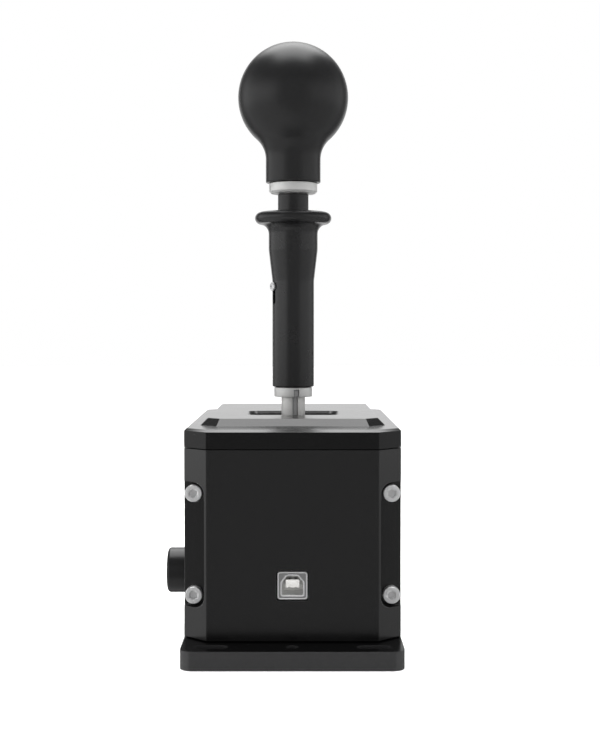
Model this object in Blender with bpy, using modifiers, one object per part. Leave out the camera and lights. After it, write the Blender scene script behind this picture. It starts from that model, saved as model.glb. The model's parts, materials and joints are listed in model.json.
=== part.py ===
"""H-pattern gear shifter for a driving simulator, with a lift-up lock collar on its lever.

+Z is up and the USB connector faces -Y, which is called the rear. The origin is the centre of the base
plate's underside. The lever rocks fore and aft on a cradle that turns about X, and from lane to lane about a
pin along Y in that cradle.
"""
import math

import bmesh
import bpy
from mathutils import Matrix, Vector

# Fits
GAP = 0.0003                 # between two pieces that rest on each other
RUN = 0.00025                # round a piece that turns or slides
OVER = 0.001                 # how far a cutter runs out past the face it cuts
BLOCK_BEVEL = 0.0008
HOLDER_BEVEL = 0.0006
ROUND = 16                   # facets of a small round piece
FINE = 24                    # facets of a large round piece

# Housing
WIDTH = 0.088
BODY_DEPTH = 0.142
BODY_HEIGHT = 0.077          # from the base plate to the cover
BASE_LIP = 0.0155            # base plate past each end of the body
BASE_THICKNESS = 0.0075
BASE_CORNER = 0.005
SIDE_WALL = 0.008
END_WALL = 0.015
CORNER_CHAMFER = 0.0095
COVER_THICKNESS = 0.008
COVER_BEVEL = 0.001
PLATEAU_HEIGHT = 0.003
PLATEAU_SIDE_LEDGE = 0.0055  # cover's edge to the foot of the plateau, at the sides
PLATEAU_REAR_LEDGE = 0.019
PLATEAU_FRONT_LEDGE = 0.0085
PLATEAU_REAR_CHAMFER = 0.007
PLATEAU_FRONT_CHAMFER = 0.002
WINDOW_WIDTH = 0.0405
WINDOW_DEPTH = 0.029
WINDOW_CORNER = 0.005
WINDOW_CHAMFER = 0.0012
LEDGE_WIDTH = 0.008          # inner ledge of a side plate, which the cover is screwed to
LEDGE_THICKNESS = 0.006

# Base plate fixings
SLOT_LENGTH = 0.014
SLOT_WIDTH = 0.0055
SLOT_INSET_X = 0.0117        # slot centre from the plate's side
SLOT_INSET_Y = 0.0078        # slot centre from the plate's end
END_HOLE_RADIUS = 0.0025

# Screws
M4 = 0.004
M3 = 0.003
LONG_SCREW = 0.016
SHORT_SCREW = 0.010
HEAD_RATIO = 0.875            # head radius by screw size
HEXAGON_RATIO = 0.433         # socket's corner radius by screw size
GATE_SCREW = 0.012
END_SCREW_LOW = 0.0176       # lower end screws above the base plate
END_SCREW_TOP = 0.0181       # upper end screws below the cover
POCKET_RADIUS = 0.0046
POCKET_DEPTH = 0.0105
BASE_SCREW_Y = 0.045
BASE_SCREW_INSET = 0.0008     # in from the middle of the side wall
COVER_SCREW_Y = 0.045

# USB-B connector and its board
USB_HEIGHT = 0.0302          # centre above the underside
USB_WIDTH = 0.01204
USB_TALL = 0.0111
USB_LENGTH = 0.0158
USB_MOUTH_WIDTH = 0.00845
USB_MOUTH_TALL = 0.00778
USB_MOUTH_CHAMFER = 0.0018
USB_CORNER = 0.001
USB_FIT = 0.0004
USB_RECESS = 0.0002
USB_TONGUE_WIDTH = 0.0055
USB_TONGUE_TALL = 0.0033
USB_TONGUE_SETBACK = 0.0043
USB_BACK_LENGTH = 0.006
REAR_SKIN = 0.003            # wall left behind the connector
REAR_HOLLOW_WIDTH = 0.056
REAR_HOLLOW_TALL = 0.048
BOARD_THICKNESS = 0.0016
BOARD_WIDTH = 0.044
BOARD_FRONT = 0.040          # board's front edge from the rear face
POST_RADIUS = 0.0025

# Pivots
LEVER_Y = -0.011
PIVOT_Z = 0.040
TILT_LIMIT = math.radians(8)
SELECT_LIMIT = math.radians(13.5)
STUB_RADIUS = 0.004
STUB_FLANGE_RADIUS = 0.0065
STUB_FLANGE = 0.003
BUSH_WALL = 0.00275
BUSH_DEPTH = 0.0065
CRADLE_HALF_X = 0.020
CRADLE_HALF_Y = 0.024
CRADLE_WALL = 0.006
CRADLE_HEIGHT = 0.012
CHEEK_THICKNESS = 0.004
CHEEK_HALF_WIDTH = 0.011
CHEEK_TOP = 0.008            # above the pivot
CHEEK_DROP = 0.023           # below the pivot
SENSOR_SIZE = 0.018
SENSOR_THICKNESS = 0.0037
SELECT_SENSOR_THICKNESS = 0.008
HUB_HALF_X = 0.0085
HUB_HALF_Y = 0.009
HUB_UP = 0.010
HUB_DOWN = 0.009
PIN_RADIUS = 0.003
GATE_PIN_ROOT = 0.003
GATE_PIN_TIP = 0.0016
GATE_PIN_STEP = 0.0195       # height of the step
GATE_PIN_END = 0.011         # height of the tip

# Gate and detent
GATE_TOP = 0.016
GATE_THICKNESS = 0.003
GATE_HALF_X = 0.0165
GATE_HALF_Y = 0.014
GATE_FOOT = 0.0045
DETENT_Z = 0.020              # height of the sector's rim
DETENT_SPREAD = math.radians(32)
PIT_RADIUS = 0.0024
PIT_DEPTH = 0.001
PLUNGER_RADIUS = 0.0022
PLUNGER_LENGTH = 0.0077
DETENT_BLOCK_X = 0.009
DETENT_BLOCK_Y = 0.012
DETENT_BLOCK_TOP = 0.015
DETENT_FLOOR = 0.0012

# Side knob
PAD_DROP = 0.0143             # side knob and pad below the pivot
SIDE_KNOB_RADIUS = 0.0099
SIDE_KNOB_LENGTH = 0.011
SIDE_KNOB_STANDOFF = 0.0005
SIDE_KNOB_EDGE = 0.0015
FEED_RADIUS = 0.003
FEED_GRIP = 0.006
PAD_RADIUS = 0.006
PAD_THICKNESS = 0.003

# Lever
SHAFT_RADIUS = 0.0052
SHAFT_FOOT = 0.0055          # above the pivot
SHAFT_IN_KNOB = 0.022
KEYWAY_WIDTH = 0.0023
KEYWAY_DEPTH = 0.002
KEY_TURN = math.radians(10)
KEY_END = 0.084
TUBE_WALL = 0.00125
TUBE_FOOT = 0.128
RING_WALL = 0.0051
RING_FOOT = 0.1923
KNOB_FOOT = 0.197
KNOB_TOP = 0.2585
BALL_RADIUS = 0.0242
NECK_WALL = 0.00655
NECK_FILLET = 0.012

# Lift sleeve and lock collar
LIFT = 0.006
SLEEVE_TOP = 0.184
SLEEVE_FOOT = 0.1072
SLEEVE_WALL = 0.0022
SLEEVE_FLOOR = 0.002
SLEEVE_SWELL = 0.0016         # neck past the sleeve below it
FLANGE_REACH = 0.00605        # flange past the neck
FLANGE_EDGE = 0.0026
FLANGE_NECK_Z = 0.1745
TAPER_TOP = 0.1675
TAPER_FOOT = 0.1538
SLEEVE_BEVEL = 0.0006
COLLAR_WALL = 0.0029
COLLAR_HEIGHT = 0.0041
NOTCH_HEIGHT = 0.0033
GUIDE_Z = 0.1513
GUIDE_SHANK = 0.0013
GUIDE_HEAD_RADIUS = 0.002
GUIDE_HEAD = 0.001
GUIDE_FLAT = 0.0014           # radius of the head's flat top
GUIDE_RIM = 0.0006            # height of the head's upright edge
GUIDE_TURN = math.radians(22)  # from the left side towards the rear
SPRING_WIRE = 0.0005
SPRING_TURNS = 6
DETENT_WIRE = 0.0003
CENTRING_WIRE = 0.0006
CENTRING_TURNS = 4

# Levels that follow
HALF_WIDTH = WIDTH / 2
HALF_BODY = BODY_DEPTH / 2
HALF_BASE = HALF_BODY + BASE_LIP
INNER_X = HALF_WIDTH - SIDE_WALL
INNER_Y = HALF_BODY - END_WALL
WALL_FOOT = BASE_THICKNESS + GAP
WALL_TOP = BASE_THICKNESS + BODY_HEIGHT
COVER_TOP = WALL_TOP + COVER_THICKNESS
SCREW_X = HALF_WIDTH - SIDE_WALL / 2
PIVOT = Vector((0, LEVER_Y, PIVOT_Z))
KNOB_HEIGHT = PIVOT_Z - PAD_DROP
DETENT_RADIUS = PIVOT_Z - DETENT_Z
SHAFT_BORE = SHAFT_RADIUS + GAP
TUBE_RADIUS = SHAFT_BORE + TUBE_WALL
RING_RADIUS = SHAFT_BORE + RING_WALL
NECK_RADIUS = SHAFT_BORE + NECK_WALL
COLLAR_RADIUS = SHAFT_BORE + COLLAR_WALL
SLEEVE_RADIUS = TUBE_RADIUS + RUN + SLEEVE_WALL
SLEEVE_NECK_RADIUS = SLEEVE_RADIUS + SLEEVE_SWELL
FLANGE_RADIUS = SLEEVE_NECK_RADIUS + FLANGE_REACH

BLACK = ("black_anodised", (0.025, 0.025, 0.027, 1), 0.38, 0.6)
STEEL = ("bright_steel", (0.62, 0.62, 0.63, 1), 0.28, 1.0)
DARK_STEEL = ("dark_steel", (0.16, 0.16, 0.17, 1), 0.35, 1.0)
MACHINED = ("machined_aluminium", (0.55, 0.56, 0.57, 1), 0.35, 1.0)
BLACK_TUBE = ("black_tube", (0.03, 0.03, 0.032, 1), 0.30, 0.6)
KNOB_BLACK = ("knob_black", (0.03, 0.03, 0.031, 1), 0.42, 0.0)
PLASTIC = ("pale_plastic", (0.78, 0.77, 0.73, 1), 0.5, 0.0)
BOARD = ("board_green", (0.02, 0.12, 0.06, 1), 0.45, 0.0)
BRONZE = ("bronze", (0.45, 0.28, 0.12, 1), 0.4, 1.0)
PAD = ("friction_pad", (0.12, 0.09, 0.07, 1), 0.9, 0.0)


def material(look):
    """The material of a look, made once from its name, colour, roughness and metallic value."""
    name, colour, roughness, metallic = look
    found = bpy.data.materials.get(name)
    if found:
        return found
    made = bpy.data.materials.new(name)
    made.use_nodes = True
    shader = made.node_tree.nodes["Principled BSDF"]
    shader.inputs["Base Color"].default_value = colour
    shader.inputs["Roughness"].default_value = roughness
    shader.inputs["Metallic"].default_value = metallic
    return made


def place(name, mesh, look, at=(0, 0, 0), turn=(0, 0, 0)):
    """A mesh as a named part, or as a cutter when it has no look."""
    thing = bpy.data.objects.new(name, mesh)
    thing.location = at
    thing.rotation_euler = turn
    if look is None:
        cutters.objects.link(thing)
        thing.hide_render = True
        thing.display_type = "WIRE"
        return thing
    if not mesh.materials:
        mesh.materials.append(material(look))
    parts.objects.link(thing)
    return thing


def finished(name, bm):
    """A bmesh turned into a mesh with smooth round sides and sharp corners."""
    bmesh.ops.recalc_face_normals(bm, faces=bm.faces)
    mesh = bpy.data.meshes.new(name)
    bm.to_mesh(mesh)
    bm.free()
    mesh.shade_smooth()
    mesh.set_sharp_from_angle(angle=math.radians(35))
    return mesh


def block(name, look, low, high, bevel=0.0):
    """A box between two corners, with its edges bevelled where bevel isn't 0."""
    low = Vector(low)
    high = Vector(high)
    bm = bmesh.new()
    bmesh.ops.create_cube(bm, size=1)
    bmesh.ops.scale(bm, vec=high - low, verts=bm.verts)
    if bevel:
        bmesh.ops.bevel(bm, geom=bm.edges[:], offset=bevel, segments=1, affect="EDGES")
    return place(name, finished(name, bm), look, (low + high) / 2)


def rod(name, look, start, end, radius, sides=ROUND):
    """A cylinder from one point to another."""
    start = Vector(start)
    end = Vector(end)
    bm = bmesh.new()
    length = (end - start).length
    bmesh.ops.create_cone(bm, cap_ends=True, segments=sides, radius1=radius, radius2=radius, depth=length)
    turn = (end - start).to_track_quat("Z", "Y").to_euler()
    return place(name, finished(name, bm), look, (start + end) / 2, turn)


def arc(centre, radius, start, end, steps):
    """Points on a circle between two angles in degrees, both ends included."""
    angles = [math.radians(start + (end - start) * i / steps) for i in range(steps + 1)]
    return [(centre[0] + radius * math.cos(a), centre[1] + radius * math.sin(a)) for a in angles]


def turned(name, look, profile, at, turn=(0, 0, 0), ring=False, steps=ROUND):
    """A profile of (radius, height) points turned about its own Z; ring closes a profile off the axis."""
    mesh = bpy.data.meshes.new(name)
    count = len(profile)
    edges = [(i, i + 1) for i in range(count - 1)]
    if ring:
        edges.append((count - 1, 0))
    mesh.from_pydata([(r, 0, z) for r, z in profile], edges, [])
    piece = place(name, mesh, look, at, turn)
    screw = piece.modifiers.new("turn", "SCREW")
    screw.steps = steps
    screw.render_steps = steps
    screw.use_merge_vertices = True
    screw.merge_threshold = 0.00001
    screw.use_smooth_shade = True
    return piece


def slab(name, look, loops, thickness, at, turn=(0, 0, 0)):
    """A flat outline with holes, given as loops of points, extruded evenly about its own plane."""
    curve = bpy.data.curves.new(name, "CURVE")
    curve.dimensions = "2D"
    curve.fill_mode = "BOTH"
    curve.extrude = thickness / 2
    for loop in loops:
        spline = curve.splines.new("POLY")
        spline.points.add(len(loop) - 1)
        for point, (x, y) in zip(spline.points, loop):
            point.co = (x, y, 0, 1)
        spline.use_cyclic_u = True
    drawn = bpy.data.objects.new(name + "_outline", curve)
    parts.objects.link(drawn)
    graph = bpy.context.evaluated_depsgraph_get()
    raw = bpy.data.meshes.new_from_object(drawn.evaluated_get(graph))
    bm = bmesh.new()
    bm.from_mesh(raw)
    bmesh.ops.remove_doubles(bm, verts=bm.verts, dist=0.00001)
    bpy.data.objects.remove(drawn)
    bpy.data.meshes.remove(raw)
    return place(name, finished(name, bm), look, at, turn)


def wire(name, look, points, radius, at, turn=(0, 0, 0)):
    """A round wire through a list of points, as a mesh with closed ends."""
    curve = bpy.data.curves.new(name, "CURVE")
    curve.dimensions = "3D"
    curve.bevel_depth = radius
    curve.bevel_resolution = 1
    curve.use_fill_caps = True
    spline = curve.splines.new("POLY")
    spline.points.add(len(points) - 1)
    for point, spot in zip(spline.points, points):
        point.co = (*spot, 1)
    drawn = bpy.data.objects.new(name + "_line", curve)
    parts.objects.link(drawn)
    graph = bpy.context.evaluated_depsgraph_get()
    raw = bpy.data.meshes.new_from_object(drawn.evaluated_get(graph))
    bm = bmesh.new()
    bm.from_mesh(raw)
    bmesh.ops.remove_doubles(bm, verts=bm.verts, dist=0.00001)
    bpy.data.objects.remove(drawn)
    bpy.data.meshes.remove(raw)
    return place(name, finished(name, bm), look, at, turn)


def coil(radius, length, turns, steps=10):
    """Points of a helix about Z, from height 0 up to its length."""
    count = turns * steps
    angles = [2 * math.pi * i / steps for i in range(count + 1)]
    return [(radius * math.cos(a), radius * math.sin(a), length * i / count) for i, a in enumerate(angles)]


def combine(piece, tool, operation="DIFFERENCE"):
    """Cut a tool out of a piece, or join it on."""
    step = piece.modifiers.new(tool.name, "BOOLEAN")
    step.operation = operation
    step.object = tool


def rounded_rectangle(half_x, half_y, radius, steps=4):
    """Outline of a rectangle with round corners, about its centre."""
    x = half_x - radius
    y = half_y - radius
    corners = [((x, y), 0), ((-x, y), 90), ((-x, -y), 180), ((x, -y), 270)]
    return [p for centre, start in corners for p in arc(centre, radius, start, start + 90, steps)]


def clipped_rectangle(half_x, low_y, high_y, low_chamfer, high_chamfer):
    """Outline of a rectangle with its corners cut at 45 degrees."""
    right = [
        (half_x - low_chamfer, low_y),
        (half_x, low_y + low_chamfer),
        (half_x, high_y - high_chamfer),
        (half_x - high_chamfer, high_y),
    ]
    return right + [(-x, y) for x, y in reversed(right)]


def empty(name, at):
    """The axis of a joint, as an empty that its moving pieces hang on."""
    axis = bpy.data.objects.new(name, None)
    axis.location = at
    axis.empty_display_size = 0.01
    parts.objects.link(axis)
    return axis


def hang(axis, *pieces):
    """Parent pieces to a joint's empty and leave them where they stand."""
    for piece in pieces:
        piece.parent = axis
        piece.matrix_parent_inverse = Matrix.Translation(-axis.location)


def cap_screw_mesh(size, length):
    """A socket-head cap screw along +Z: the underside of its head is at 0 and its shank runs down."""
    head = size * HEAD_RATIO
    profile = [(0, size), (head, size), (head, 0), (size / 2, 0), (size / 2, -length), (0, -length)]
    blank = turned("screw_blank", None, profile, (0, 0, 0), steps=12)
    socket = bmesh.new()
    corner = size * HEXAGON_RATIO
    bmesh.ops.create_cone(socket, cap_ends=True, segments=6, radius1=corner, radius2=corner, depth=size)
    tool = place("screw_socket", finished("screw_socket", socket), None, (0, 0, size))
    combine(blank, tool)
    graph = bpy.context.evaluated_depsgraph_get()
    mesh = bpy.data.meshes.new_from_object(blank.evaluated_get(graph))
    bpy.data.objects.remove(blank)
    bpy.data.objects.remove(tool)
    return mesh


def screw(name, mesh, at, turn):
    """One screw of a set that shares its mesh."""
    return place(name, mesh, STEEL, at, turn)


def screw_hole(piece, name, start, end, size):
    """A clearance hole for a screw's shank, from one point to another."""
    combine(piece, rod(name, None, start, end, size / 2 + GAP, 8))


def base_plate():
    """Flat plate with round corners, four mounting slots, two end holes and counterbored screw holes."""
    slot_x = HALF_WIDTH - SLOT_INSET_X
    slot_y = HALF_BASE - SLOT_INSET_Y
    end = SLOT_WIDTH / 2
    run = SLOT_LENGTH / 2 - end
    slot = arc((run, 0), end, -90, 90, 4) + arc((-run, 0), end, 90, 270, 4)
    loops = [rounded_rectangle(HALF_WIDTH, HALF_BASE, BASE_CORNER)]
    for side in (-1, 1):
        loops.append(arc((0, side * slot_y), END_HOLE_RADIUS, 0, 330, 11))
        for hand in (-1, 1):
            loops.append([(x + hand * slot_x, y + side * slot_y) for x, y in slot])
    plate = slab("base_plate", BLACK, loops, BASE_THICKNESS, (0, 0, BASE_THICKNESS / 2))
    for index, (x, y) in enumerate(base_screw_spots()):
        bore = rod(f"base_bore_{index}", None, (x, y, -OVER), (x, y, BASE_THICKNESS + OVER),
                   M4 / 2 + GAP, 8)
        head = rod(f"base_head_{index}", None, (x, y, -OVER), (x, y, M4 + 2 * GAP),
                   M4 * HEAD_RATIO + 2 * GAP, 12)
        combine(plate, bore)
        combine(plate, head)
    for hand in (-1, 1):
        screw_hole(plate, f"gate_thread_{hand}", gate_screw_spot(hand, GATE_TOP - GATE_SCREW),
                   gate_screw_spot(hand, BASE_THICKNESS + OVER), M3)


def base_screw_spots():
    across = SCREW_X - BASE_SCREW_INSET
    return [(x * across, y * BASE_SCREW_Y) for y in (-1, 1) for x in (-1, 1)]


def cover_screw_spots():
    x = INNER_X - LEDGE_WIDTH / 2
    return [(hand * x, end * COVER_SCREW_Y) for end in (-1, 1) for hand in (-1, 1)]


def gate_screw_spot(hand, z):
    return (hand * (GATE_HALF_X - GATE_FOOT / 2), LEVER_Y, z)


def end_screw_heights():
    return (BASE_THICKNESS + END_SCREW_LOW, WALL_TOP - END_SCREW_TOP)


def side_plate(name, hand):
    """Wall with an inner ledge under the cover, a blind bore for its bush and bores for its screws."""
    ledge_x = INNER_X - LEDGE_WIDTH
    ledge_z = WALL_TOP - LEDGE_THICKNESS
    section = [
        (HALF_WIDTH, WALL_FOOT), (HALF_WIDTH, WALL_TOP), (ledge_x, WALL_TOP),
        (ledge_x, ledge_z), (INNER_X, ledge_z), (INNER_X, WALL_FOOT),
    ]
    section = [(hand * x, z) for x, z in section]
    plate = slab(name, BLACK, [section], 2 * (INNER_Y - GAP), (0, 0, 0), (math.pi / 2, 0, 0))
    bush_bore = rod(name + "_bush_bore", None, (hand * (INNER_X - OVER), LEVER_Y, PIVOT_Z),
                    (hand * (INNER_X + BUSH_DEPTH), LEVER_Y, PIVOT_Z), STUB_RADIUS + RUN + BUSH_WALL + GAP)
    combine(plate, bush_bore)
    reach = LONG_SCREW - (END_WALL - POCKET_DEPTH) + OVER
    for end in (-1, 1):
        for level, z in enumerate(end_screw_heights()):
            screw_hole(plate, f"{name}_end_{end}_{level}", (hand * SCREW_X, end * (INNER_Y + OVER), z),
                       (hand * SCREW_X, end * (INNER_Y - reach), z), M4)
    for index, (x, y) in enumerate(base_screw_spots()):
        if x * hand > 0:
            top = M4 + GAP + LONG_SCREW + OVER
            screw_hole(plate, f"{name}_foot_{index}", (x, y, WALL_FOOT - OVER), (x, y, top), M4)
    for index, (x, y) in enumerate(cover_screw_spots()):
        if x * hand > 0:
            screw_hole(plate, f"{name}_ledge_{index}", (x, y, ledge_z - OVER), (x, y, WALL_TOP + OVER), M4)
    if hand < 0:
        bore = rod("feed_bore", None, (-HALF_WIDTH - OVER, LEVER_Y, KNOB_HEIGHT),
                   (-INNER_X + OVER, LEVER_Y, KNOB_HEIGHT), FEED_RADIUS + RUN)
        combine(plate, bore)


def end_plate(name, end):
    """Thick end block with 45 degree corners and, in each, a milled pocket that its screw heads sit in."""
    outer = [
        (HALF_WIDTH, end * INNER_Y), (HALF_WIDTH, end * (HALF_BODY - CORNER_CHAMFER)),
        (HALF_WIDTH - CORNER_CHAMFER, end * HALF_BODY),
    ]
    outline = outer + [(-x, y) for x, y in reversed(outer)]
    height = WALL_TOP - WALL_FOOT
    plate = slab(name, BLACK, [outline], height, (0, 0, WALL_FOOT + height / 2))
    low, top = end_screw_heights()
    floor = end * (HALF_BODY - POCKET_DEPTH)
    reach = POCKET_DEPTH + OVER
    for hand in (-1, 1):
        run = (top - low) / 2
        mouth = [(SIDE_WALL / 2 + OVER, -run - POCKET_RADIUS), (SIDE_WALL / 2 + OVER, run + POCKET_RADIUS)]
        corners = arc((0, run), POCKET_RADIUS, 90, 180, 3) + arc((0, -run), POCKET_RADIUS, 180, 270, 3)
        pocket = [(hand * x, z) for x, z in mouth + corners]
        middle = (hand * SCREW_X, floor + end * reach / 2, (low + top) / 2)
        combine(plate, slab(f"{name}_pocket_{hand}", None, [pocket], reach, middle, (math.pi / 2, 0, 0)))
        for level, z in enumerate((low, top)):
            screw_hole(plate, f"{name}_hole_{hand}_{level}", (hand * SCREW_X, floor + end * OVER, z),
                       (hand * SCREW_X, end * (INNER_Y - OVER), z), M4)
    return plate


def rear_connector_cuts(plate):
    """The connector's hole through the rear face, and the hollow behind it that its board reaches into."""
    hole = rounded_rectangle(USB_WIDTH / 2 + USB_FIT, USB_TALL / 2 + USB_FIT, USB_CORNER + USB_FIT, 3)
    depth = END_WALL + 2 * OVER
    spot = (0, -HALF_BODY + END_WALL / 2, USB_HEIGHT)
    combine(plate, slab("connector_hole", None, [hole], depth, spot, (math.pi / 2, 0, 0)))
    foot = USB_HEIGHT - USB_TALL / 2 - 2 * GAP - BOARD_THICKNESS - USB_FIT
    low = (-REAR_HOLLOW_WIDTH / 2, -HALF_BODY + REAR_SKIN, foot)
    high = (REAR_HOLLOW_WIDTH / 2, -INNER_Y + OVER, foot + REAR_HOLLOW_TALL)
    combine(plate, block("rear_hollow", None, low, high))


def top_cover():
    """Cover plate with a bevelled rim and a raised plateau, and the lever's window cut through both."""
    outline = clipped_rectangle(HALF_WIDTH, -HALF_BODY, HALF_BODY, CORNER_CHAMFER, CORNER_CHAMFER)
    thickness = COVER_THICKNESS - GAP
    bm = bmesh.new()
    cover = slab("top_cover", BLACK, [outline], thickness, (0, 0, COVER_TOP - thickness / 2))
    bm.from_mesh(cover.data)
    rim = [e for e in bm.edges if all(v.co.z > thickness / 2 - GAP for v in e.verts) and len(e.link_faces) == 2
           and e.calc_face_angle() > 0.5]
    bmesh.ops.bevel(bm, geom=rim, offset=COVER_BEVEL, segments=1, affect="EDGES")
    bm.to_mesh(cover.data)
    bm.free()
    root = PLATEAU_HEIGHT * 2
    half_x = HALF_WIDTH - PLATEAU_SIDE_LEDGE
    raised = clipped_rectangle(half_x, -HALF_BODY + PLATEAU_REAR_LEDGE, HALF_BODY - PLATEAU_FRONT_LEDGE,
                               PLATEAU_REAR_CHAMFER, PLATEAU_FRONT_CHAMFER)
    plateau = slab("plateau", None, [raised], root, (0, 0, COVER_TOP + PLATEAU_HEIGHT - root / 2))
    bm = bmesh.new()
    bm.from_mesh(plateau.data)
    rim = [e for e in bm.edges if all(v.co.z > root / 2 - GAP for v in e.verts) and len(e.link_faces) == 2
           and e.calc_face_angle() > 0.5]
    bmesh.ops.bevel(bm, geom=rim, offset=PLATEAU_HEIGHT, segments=1, affect="EDGES", clamp_overlap=True)
    bm.to_mesh(plateau.data)
    bm.free()
    combine(cover, plateau, "UNION")
    combine(cover, window_cutter())
    for index, (x, y) in enumerate(cover_screw_spots()):
        tip = WALL_TOP - LEDGE_THICKNESS + SHORT_SCREW + GAP
        screw_hole(cover, f"cover_thread_{index}", (x, y, WALL_TOP - OVER), (x, y, tip), M4)


def window_cutter():
    """Straight hole through the cover that opens out at 45 degrees into a chamfer at its top."""
    top = COVER_TOP + PLATEAU_HEIGHT
    levels = [(OVER, top + OVER), (-WINDOW_CHAMFER, top - WINDOW_CHAMFER),
              (-WINDOW_CHAMFER, WALL_TOP - OVER)]
    rings = []
    for grow, z in levels:
        ring = rounded_rectangle(WINDOW_WIDTH / 2 + grow, WINDOW_DEPTH / 2 + grow, WINDOW_CORNER + grow)
        rings.append([(x, y + LEVER_Y, z) for x, y in ring])
    count = len(rings[0])
    faces = [tuple(range(count)), tuple(range(2 * count, 3 * count))]
    for low in (0, count):
        faces += [(low + i, low + (i + 1) % count, low + count + (i + 1) % count, low + count + i)
                  for i in range(count)]
    mesh = bpy.data.meshes.new("window")
    mesh.from_pydata([p for ring in rings for p in ring], [], faces)
    bm = bmesh.new()
    bm.from_mesh(mesh)
    return place("window", finished("window", bm), None)


def fasteners():
    """Every screw of the housing: rear, front, base, cover and gate."""
    long_mesh = cap_screw_mesh(M4, LONG_SCREW)
    short_mesh = cap_screw_mesh(M4, SHORT_SCREW)
    gate_mesh = cap_screw_mesh(M3, GATE_SCREW)
    for name, end in (("rear", -1), ("front", 1)):
        seat = end * (HALF_BODY - POCKET_DEPTH + GAP)
        spots = [(hand * SCREW_X, seat, z) for z in end_screw_heights() for hand in (-1, 1)]
        for index, spot in enumerate(spots):
            screw(f"{name}_screw_{index + 1}", long_mesh, spot, (-end * math.pi / 2, 0, 0))
    for index, (x, y) in enumerate(base_screw_spots()):
        screw(f"base_screw_{index + 1}", long_mesh, (x, y, M4 + GAP), (math.pi, 0, 0))
    seat = WALL_TOP - LEDGE_THICKNESS - GAP
    for index, (x, y) in enumerate(cover_screw_spots()):
        screw(f"cover_screw_{index + 1}", short_mesh, (x, y, seat), (math.pi, 0, 0))
    for index, hand in enumerate((-1, 1)):
        screw(f"gate_screw_{index + 1}", gate_mesh, gate_screw_spot(hand, GATE_TOP + GAP), (0, 0, 0))


def mouth_outline(shrink=0.0):
    """The connector's mouth: a rectangle with its two upper corners cut off."""
    x = USB_MOUTH_WIDTH / 2 - shrink
    z = USB_MOUTH_TALL / 2 - shrink
    cut = USB_MOUTH_CHAMFER
    return [(-x, -z), (x, -z), (x, z - cut), (x - cut, z), (cut - x, z), (-x, z - cut)]


def connector():
    """USB-B shell, the plastic inside it, its board and the posts under the board."""
    face = -HALF_BODY + USB_RECESS
    middle = (0, face + USB_LENGTH / 2, USB_HEIGHT)
    shell = rounded_rectangle(USB_WIDTH / 2, USB_TALL / 2, USB_CORNER, 3)
    slab("usb_shell", STEEL, [shell, mouth_outline()], USB_LENGTH, middle, (math.pi / 2, 0, 0))
    back = face + USB_LENGTH
    core = (0, back - USB_BACK_LENGTH / 2, USB_HEIGHT)
    insulator = slab("usb_insulator", PLASTIC, [mouth_outline(GAP)], USB_BACK_LENGTH, core,
                     (math.pi / 2, 0, 0))
    low = (-USB_TONGUE_WIDTH / 2, face + USB_TONGUE_SETBACK, USB_HEIGHT - USB_TONGUE_TALL / 2)
    high = (USB_TONGUE_WIDTH / 2, back - USB_BACK_LENGTH / 2, USB_HEIGHT + USB_TONGUE_TALL / 2)
    combine(insulator, block("tongue", None, low, high), "UNION")
    board_top = USB_HEIGHT - USB_TALL / 2 - GAP
    board_foot = board_top - BOARD_THICKNESS
    low = (-BOARD_WIDTH / 2, -HALF_BODY + REAR_SKIN + 2 * GAP, board_foot)
    high = (BOARD_WIDTH / 2, -HALF_BODY + BOARD_FRONT, board_top)
    block("main_circuit_board", BOARD, low, high)
    for index, hand in enumerate((-1, 1)):
        x = hand * (BOARD_WIDTH / 2 - 2 * POST_RADIUS)
        y = -HALF_BODY + BOARD_FRONT - 2 * POST_RADIUS
        rod(f"board_post_{index + 1}", STEEL, (x, y, WALL_FOOT), (x, y, board_foot - GAP), POST_RADIUS, 12)


def gate_plate():
    """Bridge over the base plate with an H of slots, which the lever's gate pin runs in."""
    foot_x = GATE_HALF_X - GATE_FOOT
    under = GATE_TOP - GATE_THICKNESS
    half = [(GATE_HALF_X, WALL_FOOT), (GATE_HALF_X, GATE_TOP)]
    inner = [(foot_x, under), (foot_x, WALL_FOOT)]
    section = half + [(-x, z) for x, z in reversed(half)] + [(-x, z) for x, z in reversed(inner)] + inner
    gate = slab("gate_plate", DARK_STEEL, [section], 2 * GATE_HALF_Y, (0, LEVER_Y, 0), (math.pi / 2, 0, 0))
    reach = PIVOT_Z - under
    lane = (PIVOT_Z - GATE_TOP + GATE_THICKNESS / 2) * math.tan(SELECT_LIMIT)
    spread = GATE_THICKNESS / 2 * math.tan(SELECT_LIMIT)
    half_slot = GATE_PIN_TIP / math.cos(SELECT_LIMIT) + spread + GAP
    throw = reach * math.tan(TILT_LIMIT) + half_slot
    low_z = under - OVER
    high_z = GATE_TOP + OVER
    cross = block("neutral_slot", None, (-lane - half_slot, LEVER_Y - half_slot, low_z),
                  (lane + half_slot, LEVER_Y + half_slot, high_z))
    combine(gate, cross)
    for index in (-1, 0, 1):
        x = index * lane
        slot = block(f"lane_{index}", None, (x - half_slot, LEVER_Y - throw, low_z),
                     (x + half_slot, LEVER_Y + throw, high_z))
        combine(gate, slot)
    for hand in (-1, 1):
        screw_hole(gate, f"gate_hole_{hand}", gate_screw_spot(hand, WALL_FOOT - OVER),
                   gate_screw_spot(hand, GATE_TOP + OVER), M3)


def cheek_x():
    """Inner face of the plates on the cradle's sides."""
    return CRADLE_HALF_X + GAP


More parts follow.
